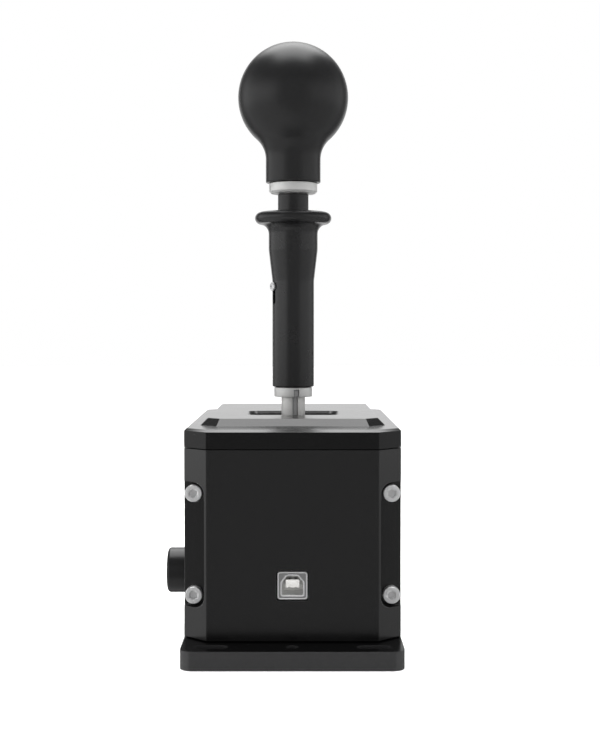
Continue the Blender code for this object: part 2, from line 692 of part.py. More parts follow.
def cradle(axis):
    """Gimbal ring on its two stubs, with the brake cheek, the detent sector and the select sensor."""
    ring = rounded_rectangle(CRADLE_HALF_X, CRADLE_HALF_Y, CRADLE_WALL / 2, 2)
    hole = rounded_rectangle(CRADLE_HALF_X - CRADLE_WALL, CRADLE_HALF_Y - CRADLE_WALL, CRADLE_WALL / 4, 2)
    frame = slab("cradle_frame", MACHINED, [ring, hole], CRADLE_HEIGHT, PIVOT)
    across = rod("stub_bore", None, PIVOT - Vector((CRADLE_HALF_X + OVER, 0, 0)),
                 PIVOT + Vector((CRADLE_HALF_X + OVER, 0, 0)), STUB_RADIUS + GAP)
    along = rod("pin_bore", None, PIVOT - Vector((0, CRADLE_HALF_Y + OVER, 0)),
                PIVOT + Vector((0, CRADLE_HALF_Y + OVER, 0)), PIN_RADIUS + RUN)
    combine(frame, across)
    combine(frame, along)
    hang(axis, frame)
    for name, hand in (("left", -1), ("right", 1)):
        flange = cheek_x() + CHEEK_THICKNESS + GAP
        inner = CRADLE_HALF_X - CRADLE_WALL + GAP
        tip = INNER_X + BUSH_DEPTH - 2 * GAP
        profile = [(0, tip), (STUB_RADIUS, tip), (STUB_RADIUS, flange + STUB_FLANGE),
                   (STUB_FLANGE_RADIUS, flange + STUB_FLANGE), (STUB_FLANGE_RADIUS, flange),
                   (STUB_RADIUS, flange), (STUB_RADIUS, inner), (0, inner)]
        stub = turned(f"{name}_pivot_stub", STEEL, profile, PIVOT, (0, hand * math.pi / 2, 0))
        hang(axis, stub)
        bush = [(STUB_RADIUS + RUN, INNER_X + GAP), (STUB_RADIUS + RUN, INNER_X + BUSH_DEPTH - GAP),
                (STUB_RADIUS + RUN + BUSH_WALL, INNER_X + BUSH_DEPTH - GAP),
                (STUB_RADIUS + RUN + BUSH_WALL, INNER_X + GAP)]
        turned(f"{name}_pivot_bush", BRONZE, bush, PIVOT, (0, hand * math.pi / 2, 0), ring=True)
    cheek_outline = [(-CHEEK_HALF_WIDTH, CHEEK_TOP), (-CHEEK_HALF_WIDTH, -CHEEK_DROP),
                     (CHEEK_HALF_WIDTH, -CHEEK_DROP), (CHEEK_HALF_WIDTH, CHEEK_TOP)]
    pivot_hole = arc((0, 0), STUB_RADIUS + GAP, 0, 337.5, 15)
    middle = cheek_x() + CHEEK_THICKNESS / 2
    cheek = slab("brake_cheek", DARK_STEEL, [cheek_outline, pivot_hole], CHEEK_THICKNESS,
                 PIVOT - Vector((middle, 0, 0)), (math.pi / 2, 0, math.pi / 2))
    spread = math.degrees(DETENT_SPREAD)
    sector_outline = arc((0, 0), DETENT_RADIUS, -90 - spread, -90 + spread, 12)
    sector_outline += [(CHEEK_HALF_WIDTH, CHEEK_TOP), (-CHEEK_HALF_WIDTH, CHEEK_TOP)]
    sector = slab("detent_sector", DARK_STEEL, [sector_outline, pivot_hole], CHEEK_THICKNESS,
                  PIVOT + Vector((middle, 0, 0)), (math.pi / 2, 0, math.pi / 2))
    for index in (-1, 0, 1):
        angle = index * TILT_LIMIT
        radius = DETENT_RADIUS + PIT_RADIUS - PIT_DEPTH
        spot = PIVOT + Vector((0, radius * math.sin(angle), -radius * math.cos(angle)))
        inside = Vector((cheek_x() - OVER, 0, 0))
        outside = Vector((cheek_x() + CHEEK_THICKNESS + OVER, 0, 0))
        combine(sector, rod(f"pit_{index}", None, spot + inside, spot + outside, PIT_RADIUS, 16))
    y = PIVOT.y + CRADLE_HALF_Y + GAP
    half = SENSOR_SIZE / 2
    sensor = block("select_sensor", PLASTIC, (-half, y, PIVOT_Z - half),
                   (half, y + SELECT_SENSOR_THICKNESS, PIVOT_Z + half), bevel=BLOCK_BEVEL)
    combine(sensor, rod("select_sensor_bore", None, (0, y - OVER, PIVOT_Z), (0, pin_front() + GAP, PIVOT_Z),
                        PIN_RADIUS + RUN))
    hang(axis, cheek, sector, sensor)
    x = INNER_X - GAP
    tilt_sensor = block("tilt_sensor", PLASTIC, (x - SENSOR_THICKNESS, LEVER_Y - half, PIVOT_Z - half),
                        (x, LEVER_Y + half, PIVOT_Z + half), bevel=BLOCK_BEVEL)
    combine(tilt_sensor, rod("tilt_sensor_bore", None, (x - SENSOR_THICKNESS - OVER, LEVER_Y, PIVOT_Z),
                             (x + OVER, LEVER_Y, PIVOT_Z), STUB_RADIUS + RUN))


def pin_front():
    """Front end of the select pin, inside its sensor."""
    return LEVER_Y + CRADLE_HALF_Y + SELECT_SENSOR_THICKNESS / 2


def detent():
    """Block with a blind bore, the sprung plunger in it and the spring under the plunger."""
    x = cheek_x() + CHEEK_THICKNESS / 2
    low = (x - DETENT_BLOCK_X / 2, LEVER_Y - DETENT_BLOCK_Y / 2, WALL_FOOT)
    high = (x + DETENT_BLOCK_X / 2, LEVER_Y + DETENT_BLOCK_Y / 2, DETENT_BLOCK_TOP)
    holder = block("detent_housing", MACHINED, low, high, bevel=HOLDER_BEVEL)
    floor = WALL_FOOT + DETENT_FLOOR
    combine(holder, rod("plunger_bore", None, (x, LEVER_Y, floor), (x, LEVER_Y, DETENT_BLOCK_TOP + OVER),
                        PLUNGER_RADIUS + RUN))
    tip = PIVOT_Z - DETENT_RADIUS - GAP
    foot = tip - PLUNGER_LENGTH
    ball = arc((0, tip - PLUNGER_RADIUS), PLUNGER_RADIUS, 90, 0, 5)
    profile = ball + [(PLUNGER_RADIUS, foot), (0, foot)]
    axis = empty("plunger_axis", Vector((x, LEVER_Y, tip)))
    plunger = turned("detent_plunger", STEEL, profile, (x, LEVER_Y, 0), steps=16)
    hang(axis, plunger)
    wire_radius = DETENT_WIRE
    start = floor + wire_radius + GAP
    length = foot - wire_radius - GAP - start
    wire("detent_spring", STEEL, coil(PLUNGER_RADIUS - 2 * wire_radius, length, 3), wire_radius,
         (x, LEVER_Y, start))


def resistance_adjuster():
    """Side knob on its screw, which feeds the friction pad towards the brake cheek."""
    spot = Vector((-HALF_WIDTH, LEVER_Y, KNOB_HEIGHT))
    feed_axis = empty("pad_axis", spot)
    turn_axis = empty("side_knob_axis", spot)
    hang(feed_axis, turn_axis)
    turn = (0, -math.pi / 2, 0)
    origin = (0, LEVER_Y, KNOB_HEIGHT)
    foot = HALF_WIDTH + SIDE_KNOB_STANDOFF
    end = foot + SIDE_KNOB_LENGTH
    bore = FEED_RADIUS + GAP
    edge = arc((SIDE_KNOB_RADIUS - SIDE_KNOB_EDGE, end - SIDE_KNOB_EDGE), SIDE_KNOB_EDGE, 90, 0, 4)
    profile = [(0, end)] + edge + [(SIDE_KNOB_RADIUS, foot), (bore, foot), (bore, foot + FEED_GRIP + GAP)]
    profile.append((0, foot + FEED_GRIP + GAP))
    knob = turned("resistance_knob", KNOB_BLACK, profile, origin, turn, steps=FINE)
    pad_face = cheek_x() + CHEEK_THICKNESS + GAP
    pad_back = pad_face + PAD_THICKNESS
    feed = rod("resistance_screw", STEEL, (-foot - FEED_GRIP, LEVER_Y, KNOB_HEIGHT),
               (-pad_back - GAP, LEVER_Y, KNOB_HEIGHT), FEED_RADIUS)
    pad = rod("friction_pad", PAD, (-pad_back, LEVER_Y, KNOB_HEIGHT),
              (-pad_face, LEVER_Y, KNOB_HEIGHT), PAD_RADIUS)
    hang(turn_axis, knob, feed)
    hang(feed_axis, pad)


def lever(axis):
    """Hub on the select pin, shaft, guide tube, ring and ball, and the springs that ride with them."""
    hub = block("lever_hub", MACHINED, (-HUB_HALF_X, LEVER_Y - HUB_HALF_Y, PIVOT_Z - HUB_DOWN),
                (HUB_HALF_X, LEVER_Y + HUB_HALF_Y, PIVOT_Z + HUB_UP), bevel=BLOCK_BEVEL)
    shaft_foot = PIVOT_Z + SHAFT_FOOT
    combine(hub, rod("hub_pin_bore", None, (0, LEVER_Y - HUB_HALF_Y - OVER, PIVOT_Z),
                     (0, LEVER_Y + HUB_HALF_Y + OVER, PIVOT_Z), PIN_RADIUS + GAP))
    combine(hub, rod("hub_shaft_bore", None, (0, LEVER_Y, shaft_foot - GAP),
                     (0, LEVER_Y, PIVOT_Z + HUB_UP + OVER), SHAFT_RADIUS + GAP))
    root_top = PIVOT_Z - PIN_RADIUS - 3 * GAP
    combine(hub, rod("hub_gate_bore", None, (0, LEVER_Y, PIVOT_Z - HUB_DOWN - OVER),
                     (0, LEVER_Y, root_top - GAP), GATE_PIN_ROOT + GAP))
    gate_profile = [(0, root_top - 2 * GAP), (GATE_PIN_ROOT, root_top - 2 * GAP),
                    (GATE_PIN_ROOT, GATE_PIN_STEP), (GATE_PIN_TIP, GATE_PIN_STEP), (GATE_PIN_TIP, GATE_PIN_END), (0, GATE_PIN_END)]
    gate_pin = turned("gate_pin", STEEL, gate_profile, (0, LEVER_Y, 0), steps=16)
    pin = rod("select_pin", STEEL, (0, LEVER_Y - CRADLE_HALF_Y + GAP, PIVOT_Z),
              (0, pin_front(), PIVOT_Z), PIN_RADIUS)
    shaft_top = KNOB_FOOT + SHAFT_IN_KNOB
    shaft = rod("lever_shaft", DARK_STEEL, (0, LEVER_Y, shaft_foot), (0, LEVER_Y, shaft_top), SHAFT_RADIUS)
    keyway = block("keyway", None, (-KEYWAY_WIDTH / 2, -SHAFT_RADIUS - OVER, KEY_END - LIFT),
                   (KEYWAY_WIDTH / 2, KEYWAY_DEPTH - SHAFT_RADIUS, SLEEVE_FOOT + LIFT + GAP))
    turn_about_lever(keyway)
    combine(shaft, keyway)
    bore = SHAFT_BORE
    tube_top = RING_FOOT - GAP
    tube = turned("guide_tube", BLACK_TUBE, [(bore, TUBE_FOOT), (bore, tube_top), (TUBE_RADIUS, tube_top),
                                             (TUBE_RADIUS, TUBE_FOOT)], (0, LEVER_Y, 0), ring=True)
    wall = [(0, TUBE_RADIUS + OVER), (GUIDE_SHANK + GAP, TUBE_RADIUS + OVER),
            (GUIDE_SHANK + GAP, bore - OVER), (0, bore - OVER)]
    hole = turned("guide_screw_hole", None, wall, (0, 0, GUIDE_Z), (0, -math.pi / 2, 0), steps=12)
    turn_about_lever(hole, GUIDE_TURN)
    combine(tube, hole)
    head = SLEEVE_RADIUS + GAP
    guide_profile = [(0, head + GUIDE_HEAD), (GUIDE_FLAT, head + GUIDE_HEAD),
                     (GUIDE_HEAD_RADIUS, head + GUIDE_RIM), (GUIDE_HEAD_RADIUS, head),
                     (GUIDE_SHANK, head), (GUIDE_SHANK, bore + GAP), (0, bore + GAP)]
    guide = turned("guide_screw", STEEL, guide_profile, (0, 0, GUIDE_Z), (0, -math.pi / 2, 0), steps=12)
    turn_about_lever(guide, GUIDE_TURN)
    ring_top = KNOB_FOOT - GAP
    ring = turned("knob_ring", STEEL, [(bore, RING_FOOT), (bore, ring_top), (RING_RADIUS, ring_top),
                                       (RING_RADIUS, RING_FOOT)], (0, LEVER_Y, 0), ring=True)
    knob = turned("gear_knob", KNOB_BLACK, knob_profile(), (0, LEVER_Y, 0), steps=FINE)
    mean = bore + GAP + SPRING_WIRE
    start = SLEEVE_FOOT + SLEEVE_FLOOR + SPRING_WIRE + GAP
    length = TUBE_FOOT - SPRING_WIRE - GAP - start
    spring = wire("sleeve_return_spring", STEEL, coil(mean - GAP, length, SPRING_TURNS), SPRING_WIRE,
                  (0, LEVER_Y, start))
    mean = PIN_RADIUS + CENTRING_WIRE + 3 * GAP
    room = CRADLE_HALF_Y - CRADLE_WALL - HUB_HALF_Y
    length = room - 2 * (CENTRING_WIRE + GAP)
    turns = coil(mean, length, CENTRING_TURNS)
    legs = [(mean, -HUB_HALF_X * 0.9, 0)] + turns + [(mean, HUB_HALF_X * 0.9, length)]
    centring = wire("select_centring_spring", STEEL, legs, CENTRING_WIRE,
                    (0, LEVER_Y - HUB_HALF_Y - CENTRING_WIRE - GAP, PIVOT_Z), (math.pi / 2, 0, 0))
    hang(axis, hub, gate_pin, pin, shaft, tube, guide, ring, knob, spring, centring)


def knob_profile():
    """Ball blended into its straight neck by a fillet that touches both, and the bore for the shaft."""
    centre_z = KNOB_TOP - BALL_RADIUS
    fillet_x = NECK_RADIUS + NECK_FILLET
    drop = math.sqrt((BALL_RADIUS + NECK_FILLET) ** 2 - fillet_x ** 2)
    lean = math.degrees(math.atan2(drop, fillet_x))
    ball = arc((0, centre_z), BALL_RADIUS, 90, -lean, 10)
    blend = arc((fillet_x, centre_z - drop), NECK_FILLET, 180 - lean, 180, 3)
    ball[0] = (0, KNOB_TOP)
    bore = SHAFT_BORE
    bore_top = KNOB_FOOT + SHAFT_IN_KNOB + GAP
    return ball + blend[1:] + [(NECK_RADIUS, KNOB_FOOT), (bore, KNOB_FOOT), (bore, bore_top), (0, bore_top)]


def turn_about_lever(piece, angle=KEY_TURN):
    """Move a piece made on the world's Z axis to the lever's axis, turned about it."""
    turn = Matrix.Rotation(angle, 4, "Z")
    piece.location = Vector((0, LEVER_Y, 0)) + turn @ piece.location
    piece.rotation_euler.z += angle


def sleeve_profile():
    """Flanged grip: round rim, concave fillet, neck, taper and straight tube, and the stepped bore."""
    rim = (FLANGE_RADIUS - FLANGE_EDGE, SLEEVE_TOP - FLANGE_EDGE)
    rise = rim[1] - FLANGE_NECK_Z
    reach = rim[0] - SLEEVE_NECK_RADIUS
    fillet = (rise ** 2 + reach ** 2 - FLANGE_EDGE ** 2) / (2 * (FLANGE_EDGE + reach))
    lean = math.degrees(math.atan2(rise, reach - fillet))
    outer = arc(rim, FLANGE_EDGE, 90, lean - 180, 5)
    blend = arc((SLEEVE_NECK_RADIUS + fillet, FLANGE_NECK_Z), fillet, lean, 180, 2)
    outer += blend[1:]
    outer += [(SLEEVE_NECK_RADIUS, TAPER_TOP), (SLEEVE_RADIUS, TAPER_FOOT)]
    outer += [(SLEEVE_RADIUS, SLEEVE_FOOT + SLEEVE_BEVEL), (SLEEVE_RADIUS - SLEEVE_BEVEL, SLEEVE_FOOT)]
    tube_bore = TUBE_RADIUS + RUN
    shaft_bore = SHAFT_BORE
    step = SLEEVE_FOOT + SLEEVE_FLOOR
    inner = [(shaft_bore, SLEEVE_FOOT), (shaft_bore, step), (tube_bore, step), (tube_bore, SLEEVE_TOP)]
    return outer + inner


def lift_sleeve(axis):
    """Sleeve with its guide slot, the lock collar under it and the key that the collar carries."""
    sleeve = turned("lift_sleeve", BLACK_TUBE, sleeve_profile(), (0, LEVER_Y, 0), ring=True, steps=FINE)
    half = GUIDE_SHANK + GAP
    slot = arc((0, 0), half, 0, 180, 6) + arc((0, -LIFT - GAP), half, 180, 360, 6)
    reach = SLEEVE_RADIUS + OVER - TUBE_RADIUS
    middle = -(TUBE_RADIUS + reach / 2)
    guide_slot = slab("guide_slot", None, [slot], reach, (middle, 0, GUIDE_Z),
                      (math.pi / 2, 0, math.pi / 2))
    turn_about_lever(guide_slot, GUIDE_TURN)
    combine(sleeve, guide_slot)
    bore = SHAFT_BORE
    collar_top = SLEEVE_FOOT - GAP
    collar_foot = collar_top - COLLAR_HEIGHT
    ring = [(bore, collar_foot), (bore, collar_top), (COLLAR_RADIUS, collar_top),
            (COLLAR_RADIUS, collar_foot)]
    collar = turned("lock_collar", MACHINED, ring, (0, LEVER_Y, 0), ring=True)
    notch = block("collar_notch", None, (-KEYWAY_WIDTH / 2, -COLLAR_RADIUS - OVER, collar_foot - OVER),
                  (KEYWAY_WIDTH / 2, -bore + OVER, collar_foot + NOTCH_HEIGHT))
    turn_about_lever(notch)
    combine(collar, notch)
    half_key = KEYWAY_WIDTH / 2 - GAP
    deep = KEYWAY_DEPTH - SHAFT_RADIUS - GAP
    shallow = -SHAFT_RADIUS + GAP
    tab_top = collar_foot + NOTCH_HEIGHT - GAP
    tab_foot = collar_foot + GAP
    tab_out = -COLLAR_RADIUS + 2 * GAP
    side = [(deep, KEY_END), (deep, tab_top), (tab_out, tab_top), (tab_out, tab_foot), (shallow, tab_foot),
            (shallow, KEY_END)]
    key = slab("lockout_key", DARK_STEEL, [side], 2 * half_key, (0, 0, 0), (math.pi / 2, 0, math.pi / 2))
    turn_about_lever(key)
    hang(axis, sleeve, collar, key)


def main():
    """Clear the scene and build the shifter in two collections, its parts and its cutters."""
    for old in list(bpy.data.objects):
        bpy.data.objects.remove(old)
    for group in (parts, cutters):
        bpy.context.scene.collection.children.link(group)
    base_plate()
    side_plate("left_side_plate", -1)
    side_plate("right_side_plate", 1)
    rear_connector_cuts(end_plate("rear_end_plate", -1))
    end_plate("front_end_plate", 1)
    top_cover()
    fasteners()
    connector()
    gate_plate()
    tilt_axis = empty("fore_aft_axis", PIVOT)
    select_axis = empty("select_axis", PIVOT)
    collar_axis = empty("collar_axis", Vector((0, LEVER_Y, SLEEVE_FOOT)))
    hang(tilt_axis, select_axis)
    hang(select_axis, collar_axis)
    cradle(tilt_axis)
    detent()
    resistance_adjuster()
    lever(select_axis)
    lift_sleeve(collar_axis)


parts = bpy.data.collections.new("gear_shifter")
cutters = bpy.data.collections.new("gear_shifter_cutters")
main()
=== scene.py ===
# %% [markdown]
# # A gear shifter for a driving simulator, surface by surface
# The design is already fixed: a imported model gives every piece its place, size and joint. This lesson gives
# each piece the surface that a machinist, a turner or a moulder would leave on it. The frame is loaded first,
# because every position below is read from it and not chosen again.

# %% Load the frame
import json
import math

import bmesh
import bpy
import numpy as np
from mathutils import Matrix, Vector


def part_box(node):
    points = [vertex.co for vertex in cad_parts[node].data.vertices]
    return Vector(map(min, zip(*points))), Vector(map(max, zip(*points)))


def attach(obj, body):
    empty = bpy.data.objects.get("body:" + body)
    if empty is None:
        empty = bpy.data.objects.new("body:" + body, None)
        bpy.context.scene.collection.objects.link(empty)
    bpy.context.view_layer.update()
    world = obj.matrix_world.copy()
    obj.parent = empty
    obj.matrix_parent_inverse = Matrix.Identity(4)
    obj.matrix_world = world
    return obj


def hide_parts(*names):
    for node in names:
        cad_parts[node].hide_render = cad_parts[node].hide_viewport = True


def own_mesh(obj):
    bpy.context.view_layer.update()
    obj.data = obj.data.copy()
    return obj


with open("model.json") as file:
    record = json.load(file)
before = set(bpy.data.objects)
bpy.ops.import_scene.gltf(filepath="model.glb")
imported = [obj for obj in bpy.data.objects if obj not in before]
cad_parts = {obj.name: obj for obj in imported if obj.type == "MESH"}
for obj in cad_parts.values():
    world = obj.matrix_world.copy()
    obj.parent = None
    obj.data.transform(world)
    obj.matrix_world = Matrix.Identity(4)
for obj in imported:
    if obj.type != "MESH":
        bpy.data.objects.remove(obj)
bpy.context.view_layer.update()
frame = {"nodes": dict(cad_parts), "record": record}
MM = 0.001


def span(node):
    """Lowest and highest corner of a CAD node, as numpy arrays."""
    low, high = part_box(node)
    return np.array(low), np.array(high)


def middle(node):
    """Centre of a CAD node's box."""
    low, high = span(node)
    return (low + high) / 2


def mm(*values):
    """Lengths given in millimetres, as an array in metres."""
    return np.array(values) * MM


# %% [markdown]
# ## From outlines to surfaces
# Nearly every piece here is either turned on a lathe or milled from plate. Both can be described as rings: a
# turned piece is a stack of circles, a plate is the same outline at two heights, and a cover with a sloped
# plateau is a few outlines on the way up. So one function, `loft`, joins rings into a closed surface, and
# another, `soften`, puts a true arc on each corner of an outline.

# %% Rings, arcs and closed surfaces
STRAIGHT = 0.9999999
SAME_POINT, SAME_VERTEX = 1e-8, 1e-7


def soften(corners, radii, steps=6, closed=True):
    """Corner points with each corner replaced by an arc.

    With unit directions u and v from a corner to its two neighbours and half their angle h, the arc's centre is
    on the bisector at r / sin(h), and it touches both sides at r / tan(h). The points between are a spherical
    interpolation from one touching point to the other.
    """
    points = np.asarray(corners, float)
    before, here, after = np.roll(points, 1, 0), points, np.roll(points, -1, 0)
    r = np.broadcast_to(np.asarray(radii, float), len(points))[:, None]
    if not closed:
        before, here, after, r = before[1:-1], here[1:-1], after[1:-1], r[1:-1]
    u = (before - here) / np.linalg.norm(before - here, axis=1, keepdims=True)
    v = (after - here) / np.linalg.norm(after - here, axis=1, keepdims=True)
    half = np.arccos(np.clip((u * v).sum(1, keepdims=True), -STRAIGHT, STRAIGHT)) / 2
    bisector = (u + v) / np.linalg.norm(u + v, axis=1, keepdims=True)
    centre = here + bisector * r / np.sin(half)
    first = here + u * r / np.tan(half) - centre
    last = here + v * r / np.tan(half) - centre
    sweep = (np.pi - 2 * half)[:, None]
    t = np.linspace(0, 1, steps + 1)[None, :, None]
    arcs = np.sin((1 - t) * sweep) * first[:, None] + np.sin(t * sweep) * last[:, None]
    path = (centre[:, None] + arcs / np.sin(sweep)).reshape(-1, 2)
    if not closed:
        path = np.vstack([points[:1], path, points[-1:]])
    step = np.linalg.norm(path - np.roll(path, 1, 0), axis=1)
    return path[step > SAME_POINT]


def arc(centre, radius, start, stop, steps):
    """Points of a circle between two angles in degrees, both included."""
    angle = np.radians(np.linspace(start, stop, steps + 1))
    return np.asarray(centre) + radius * np.column_stack([np.cos(angle), np.sin(angle)])


def loft(name, rings, wrap=False):
    """Rings of equal length, joined by quads into one closed surface.

    Rings run anticlockwise seen from the end that comes first. The two ends are closed by a face each, or, with
    wrap, the last ring is joined to the first, which makes a tube.
    """
    rings = np.asarray(rings, float)
    rows, columns = rings.shape[:2]
    index = np.arange(rows * columns).reshape(rows, columns)
    below = np.roll(index, -1, 0) if wrap else index[1:]
    above = index if wrap else index[:-1]
    quads = np.stack([above, below, np.roll(below, -1, 1), np.roll(above, -1, 1)], -1).reshape(-1, 4)
    faces = quads.tolist()
    if not wrap:
        faces += [index[0].tolist(), index[-1][::-1].tolist()]
    mesh = bpy.data.meshes.new(name)
    mesh.from_pydata(rings.reshape(-1, 3), [], faces)
    made = bmesh.new()
    made.from_mesh(mesh)
    bmesh.ops.remove_doubles(made, verts=made.verts, dist=SAME_VERTEX)
    bmesh.ops.recalc_face_normals(made, faces=made.faces)
    made.to_mesh(mesh)
    made.free()
    piece = bpy.data.objects.new(name, mesh)
    bpy.context.scene.collection.objects.link(piece)
    return piece


AXES = {"Z": np.eye(3), "-Z": np.diag([1.0, -1, -1]), "Y": np.array([[0, 0, 1.0], [1, 0, 0], [0, 1, 0]]),
        "-Y": np.array([[1.0, 0, 0], [0, 0, 1], [0, -1, 0]]), "-X": np.array([[0, 1.0, 0], [0, 0, -1], [-1, 0, 0]])}


def stack(name, levels, axis="Z", at=(0, 0, 0), wrap=False):
    """A loft from (outline, height) pairs along an axis, highest first."""
    rings = [np.column_stack([outline, np.full(len(outline), height)]) for outline, height in levels]
    return loft(name, np.asarray(rings) @ AXES[axis] + np.asarray(at), wrap)


def prism(name, outline, start, stop, axis="Z", at=(0, 0, 0)):
    """A flat outline carried from one height to another along an axis."""
    return stack(name, [(outline, height) for height in (max(start, stop), min(start, stop))], axis, at)


def turned(name, profile, at, axis="Z", columns=128, shape=None, ring=False):
    """A profile of (radius, height) points swept round an axis: x = r cos a, y = r sin a, z = h.

    shape, if given, is a function of the radii and angles that returns changed radii, for a hexagon or a knurl.
    """
    profile = np.asarray(profile, float)
    angle = np.linspace(0, 2 * np.pi, columns, endpoint=False)
    radius = np.repeat(profile[:, :1], columns, 1)
    if shape is not None:
        radius = shape(radius, angle)
    height = np.repeat(profile[:, 1:], columns, 1)
    rings = np.stack([radius * np.cos(angle), radius * np.sin(angle), height], -1)
    return loft(name, rings @ AXES[axis] + np.asarray(at), ring)


def box_outline(half_x, half_y, radius, steps=6):
    """A rectangle about the origin, with round corners."""
    corners = [(half_x, half_y), (-half_x, half_y), (-half_x, -half_y), (half_x, -half_y)]
    return soften(corners, radius, steps)


def bake(piece):
    """Replace a piece's mesh by what its modifiers make of it."""
    graph = bpy.context.evaluated_depsgraph_get()
    mesh = bpy.data.meshes.new_from_object(piece.evaluated_get(graph))
    piece.modifiers.clear()
    piece.data = mesh
    return piece


def carve(piece, *tools, operation="DIFFERENCE"):
    """Cut tools out of a piece, or join them on, then put the tools away."""
    for tool in tools:
        step = piece.modifiers.new("carve", "BOOLEAN")
        step.operation = operation
        step.object = tool
    bake(piece)
    for tool in tools:
        bpy.data.objects.remove(tool)
    return piece


def break_edges(piece, width, segments=3, angle=28):
    """Round every edge sharper than an angle, and keep the flats flat in the shading."""
    piece.data.shade_smooth()
    bevel = piece.modifiers.new("break_edges", "BEVEL")
    bevel.width, bevel.segments, bevel.angle_limit = width, segments, math.radians(angle)
    bevel.harden_normals = True
    return bake(piece)


def smooth(piece, angle=30):
    """Shade round surfaces smooth and keep real corners sharp."""
    piece.data.shade_smooth()
    piece.data.set_sharp_from_angle(angle=math.radians(angle))
    return piece


def settle(piece, body, slot, *nodes, look=None):
    """Give a finished piece its body and its look, and hide the CAD nodes that it stands for.

    The look is the slot's own unless another is named.
    """
    piece.data.materials.clear()
    piece.data.materials.append(LOOKS[look or slot])
    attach(piece, body)
    if nodes:
        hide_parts(*nodes)
    print(f"{piece.name}: {len(piece.data.polygons)} faces, rides on {body}")
    return piece


# %% [markdown]
# ## Surface effects as node groups
# A real finish is rarely one even value. Bead blasting leaves a fine pebbled grain, turning leaves rings, a
# wiped part carries faint cloudy patches, and edges take the first wear. Each effect is built once as a node
# group and placed in every material that needs it. The groups read Object coordinates, which are metres on the
# piece itself, so a grain of 0.2 mm is 0.2 mm on every part.

# %% Node group helpers
def new_group(name, inputs, outputs):
    """An empty node group with float inputs {name: default}, a Vector input and named float outputs."""
    group = bpy.data.node_groups.new(name, "ShaderNodeTree")
    group.interface.new_socket("Vector", in_out="INPUT", socket_type="NodeSocketVector")
    for key, value in inputs.items():
        group.interface.new_socket(key, in_out="INPUT", socket_type="NodeSocketFloat").default_value = value
    for key in outputs:
        group.interface.new_socket(key, in_out="OUTPUT", socket_type="NodeSocketFloat")
    return group, group.nodes.new("NodeGroupInput").outputs, group.nodes.new("NodeGroupOutput").inputs


def feed(tree, sockets, values):
    """Set each named input to a value, or link it to another node's output."""
    for key, value in values.items():
        if isinstance(value, bpy.types.NodeSocket):
            tree.links.new(value, sockets[key])
        else:
            sockets[key].default_value = value


def add(tree, kind, inputs={}, **properties):
    """A node of a kind with its properties set and its inputs fed."""
    node = tree.nodes.new(kind)
    for key, value in properties.items():
        setattr(node, key, value)
    feed(tree, node.inputs, inputs)
    return node


def math_node(tree, operation, first, second=0.0):
    """A Math node's result."""
    return add(tree, "ShaderNodeMath", {0: first, 1: second}, operation=operation).outputs[0]


def noise(tree, vector, scale, detail=2.0, rough=0.5):
    """A Noise Texture's value."""
    given = {"Vector": vector, "Scale": scale, "Detail": detail, "Roughness": rough}
    return add(tree, "ShaderNodeTexNoise", given).outputs["Fac"]


def ramp(tree, value, start, stop, low=0.0, high=1.0, kind="LINEAR"):
    """A value carried from one range to another, and kept inside it."""
    given = {"Value": value, "From Min": start, "From Max": stop, "To Min": low, "To Max": high}
    return add(tree, "ShaderNodeMapRange", given, interpolation_type=kind).outputs[0]


def mixed(tree, factor, first, second):
    """Two colours mixed by a factor."""
    given = {"Factor": factor, "A": first, "B": second}
    return add(tree, "ShaderNodeMix", given, data_type="RGBA").outputs["Result"]

# %% [markdown]
# Blasted grain: two sizes of noise, one about as wide as a glass bead's dent and one finer, added together.
# Clouds: slow noise that only changes the gloss. Turning rings: noise that varies along one axis and stays the
# same around it, which is just what a lathe tool leaves.

# %% Grain, clouds, rings and wear
def grain_group():
    """Height of a blasted surface: a coarse and a fine noise, three parts to one."""
    group, given, result = new_group("blasted_grain", {"Scale": 5000.0}, ["Height", "Mask"])
    coarse = noise(group, given["Vector"], given["Scale"], 1.5)
    fine = noise(group, given["Vector"], math_node(group, "MULTIPLY", given["Scale"], 2.7), 1.0)
    shares = [math_node(group, "MULTIPLY", *pair) for pair in ((coarse, 0.75), (fine, 0.25))]
    feed(group, result, {"Height": math_node(group, "ADD", *shares), "Mask": coarse})
    return group


def cloud_group():
    """Gloss that drifts over a wiped part: slow noise, centred on nought and scaled by Amount."""
    group, given, result = new_group("wiped_clouds", {"Scale": 60.0, "Base": 0.4, "Amount": 0.08}, ["Roughness"])
    slow = noise(group, given["Vector"], given["Scale"], 4.0, 0.6)
    drift = math_node(group, "MULTIPLY", math_node(group, "SUBTRACT", slow, 0.5), given["Amount"])
    feed(group, result, {"Roughness": math_node(group, "ADD", given["Base"], drift)})
    return group


def ring_group():
    """Rings of a turned surface: noise read only along the axis that Vector carries in Z."""
    group, given, result = new_group("turning_rings", {"Scale": 4000.0, "Wobble": 0.02}, ["Height"])
    parts = add(group, "ShaderNodeSeparateXYZ", {0: given["Vector"]}).outputs
    joined = {axis: math_node(group, "MULTIPLY", parts[axis], given["Wobble"]) for axis in "XY"}
    along = add(group, "ShaderNodeCombineXYZ", {**joined, "Z": parts["Z"]}).outputs[0]
    feed(group, result, {"Height": noise(group, along, given["Scale"], 3.0, 0.7)})
    return group


def wear_group():
    """Mask of worn edges: where the surface is sharply convex, broken up by noise."""
    group, given, result = new_group("edge_wear", {"Pointiness": 0.5, "Threshold": 0.54, "Scale": 900.0}, ["Mask"])
    upper = math_node(group, "ADD", given["Threshold"], 0.06)
    edge = ramp(group, given["Pointiness"], given["Threshold"], upper)
    patches = ramp(group, noise(group, given["Vector"], given["Scale"], 3.0), 0.38, 0.62)
    feed(group, result, {"Mask": math_node(group, "MULTIPLY", edge, patches)})
    return group


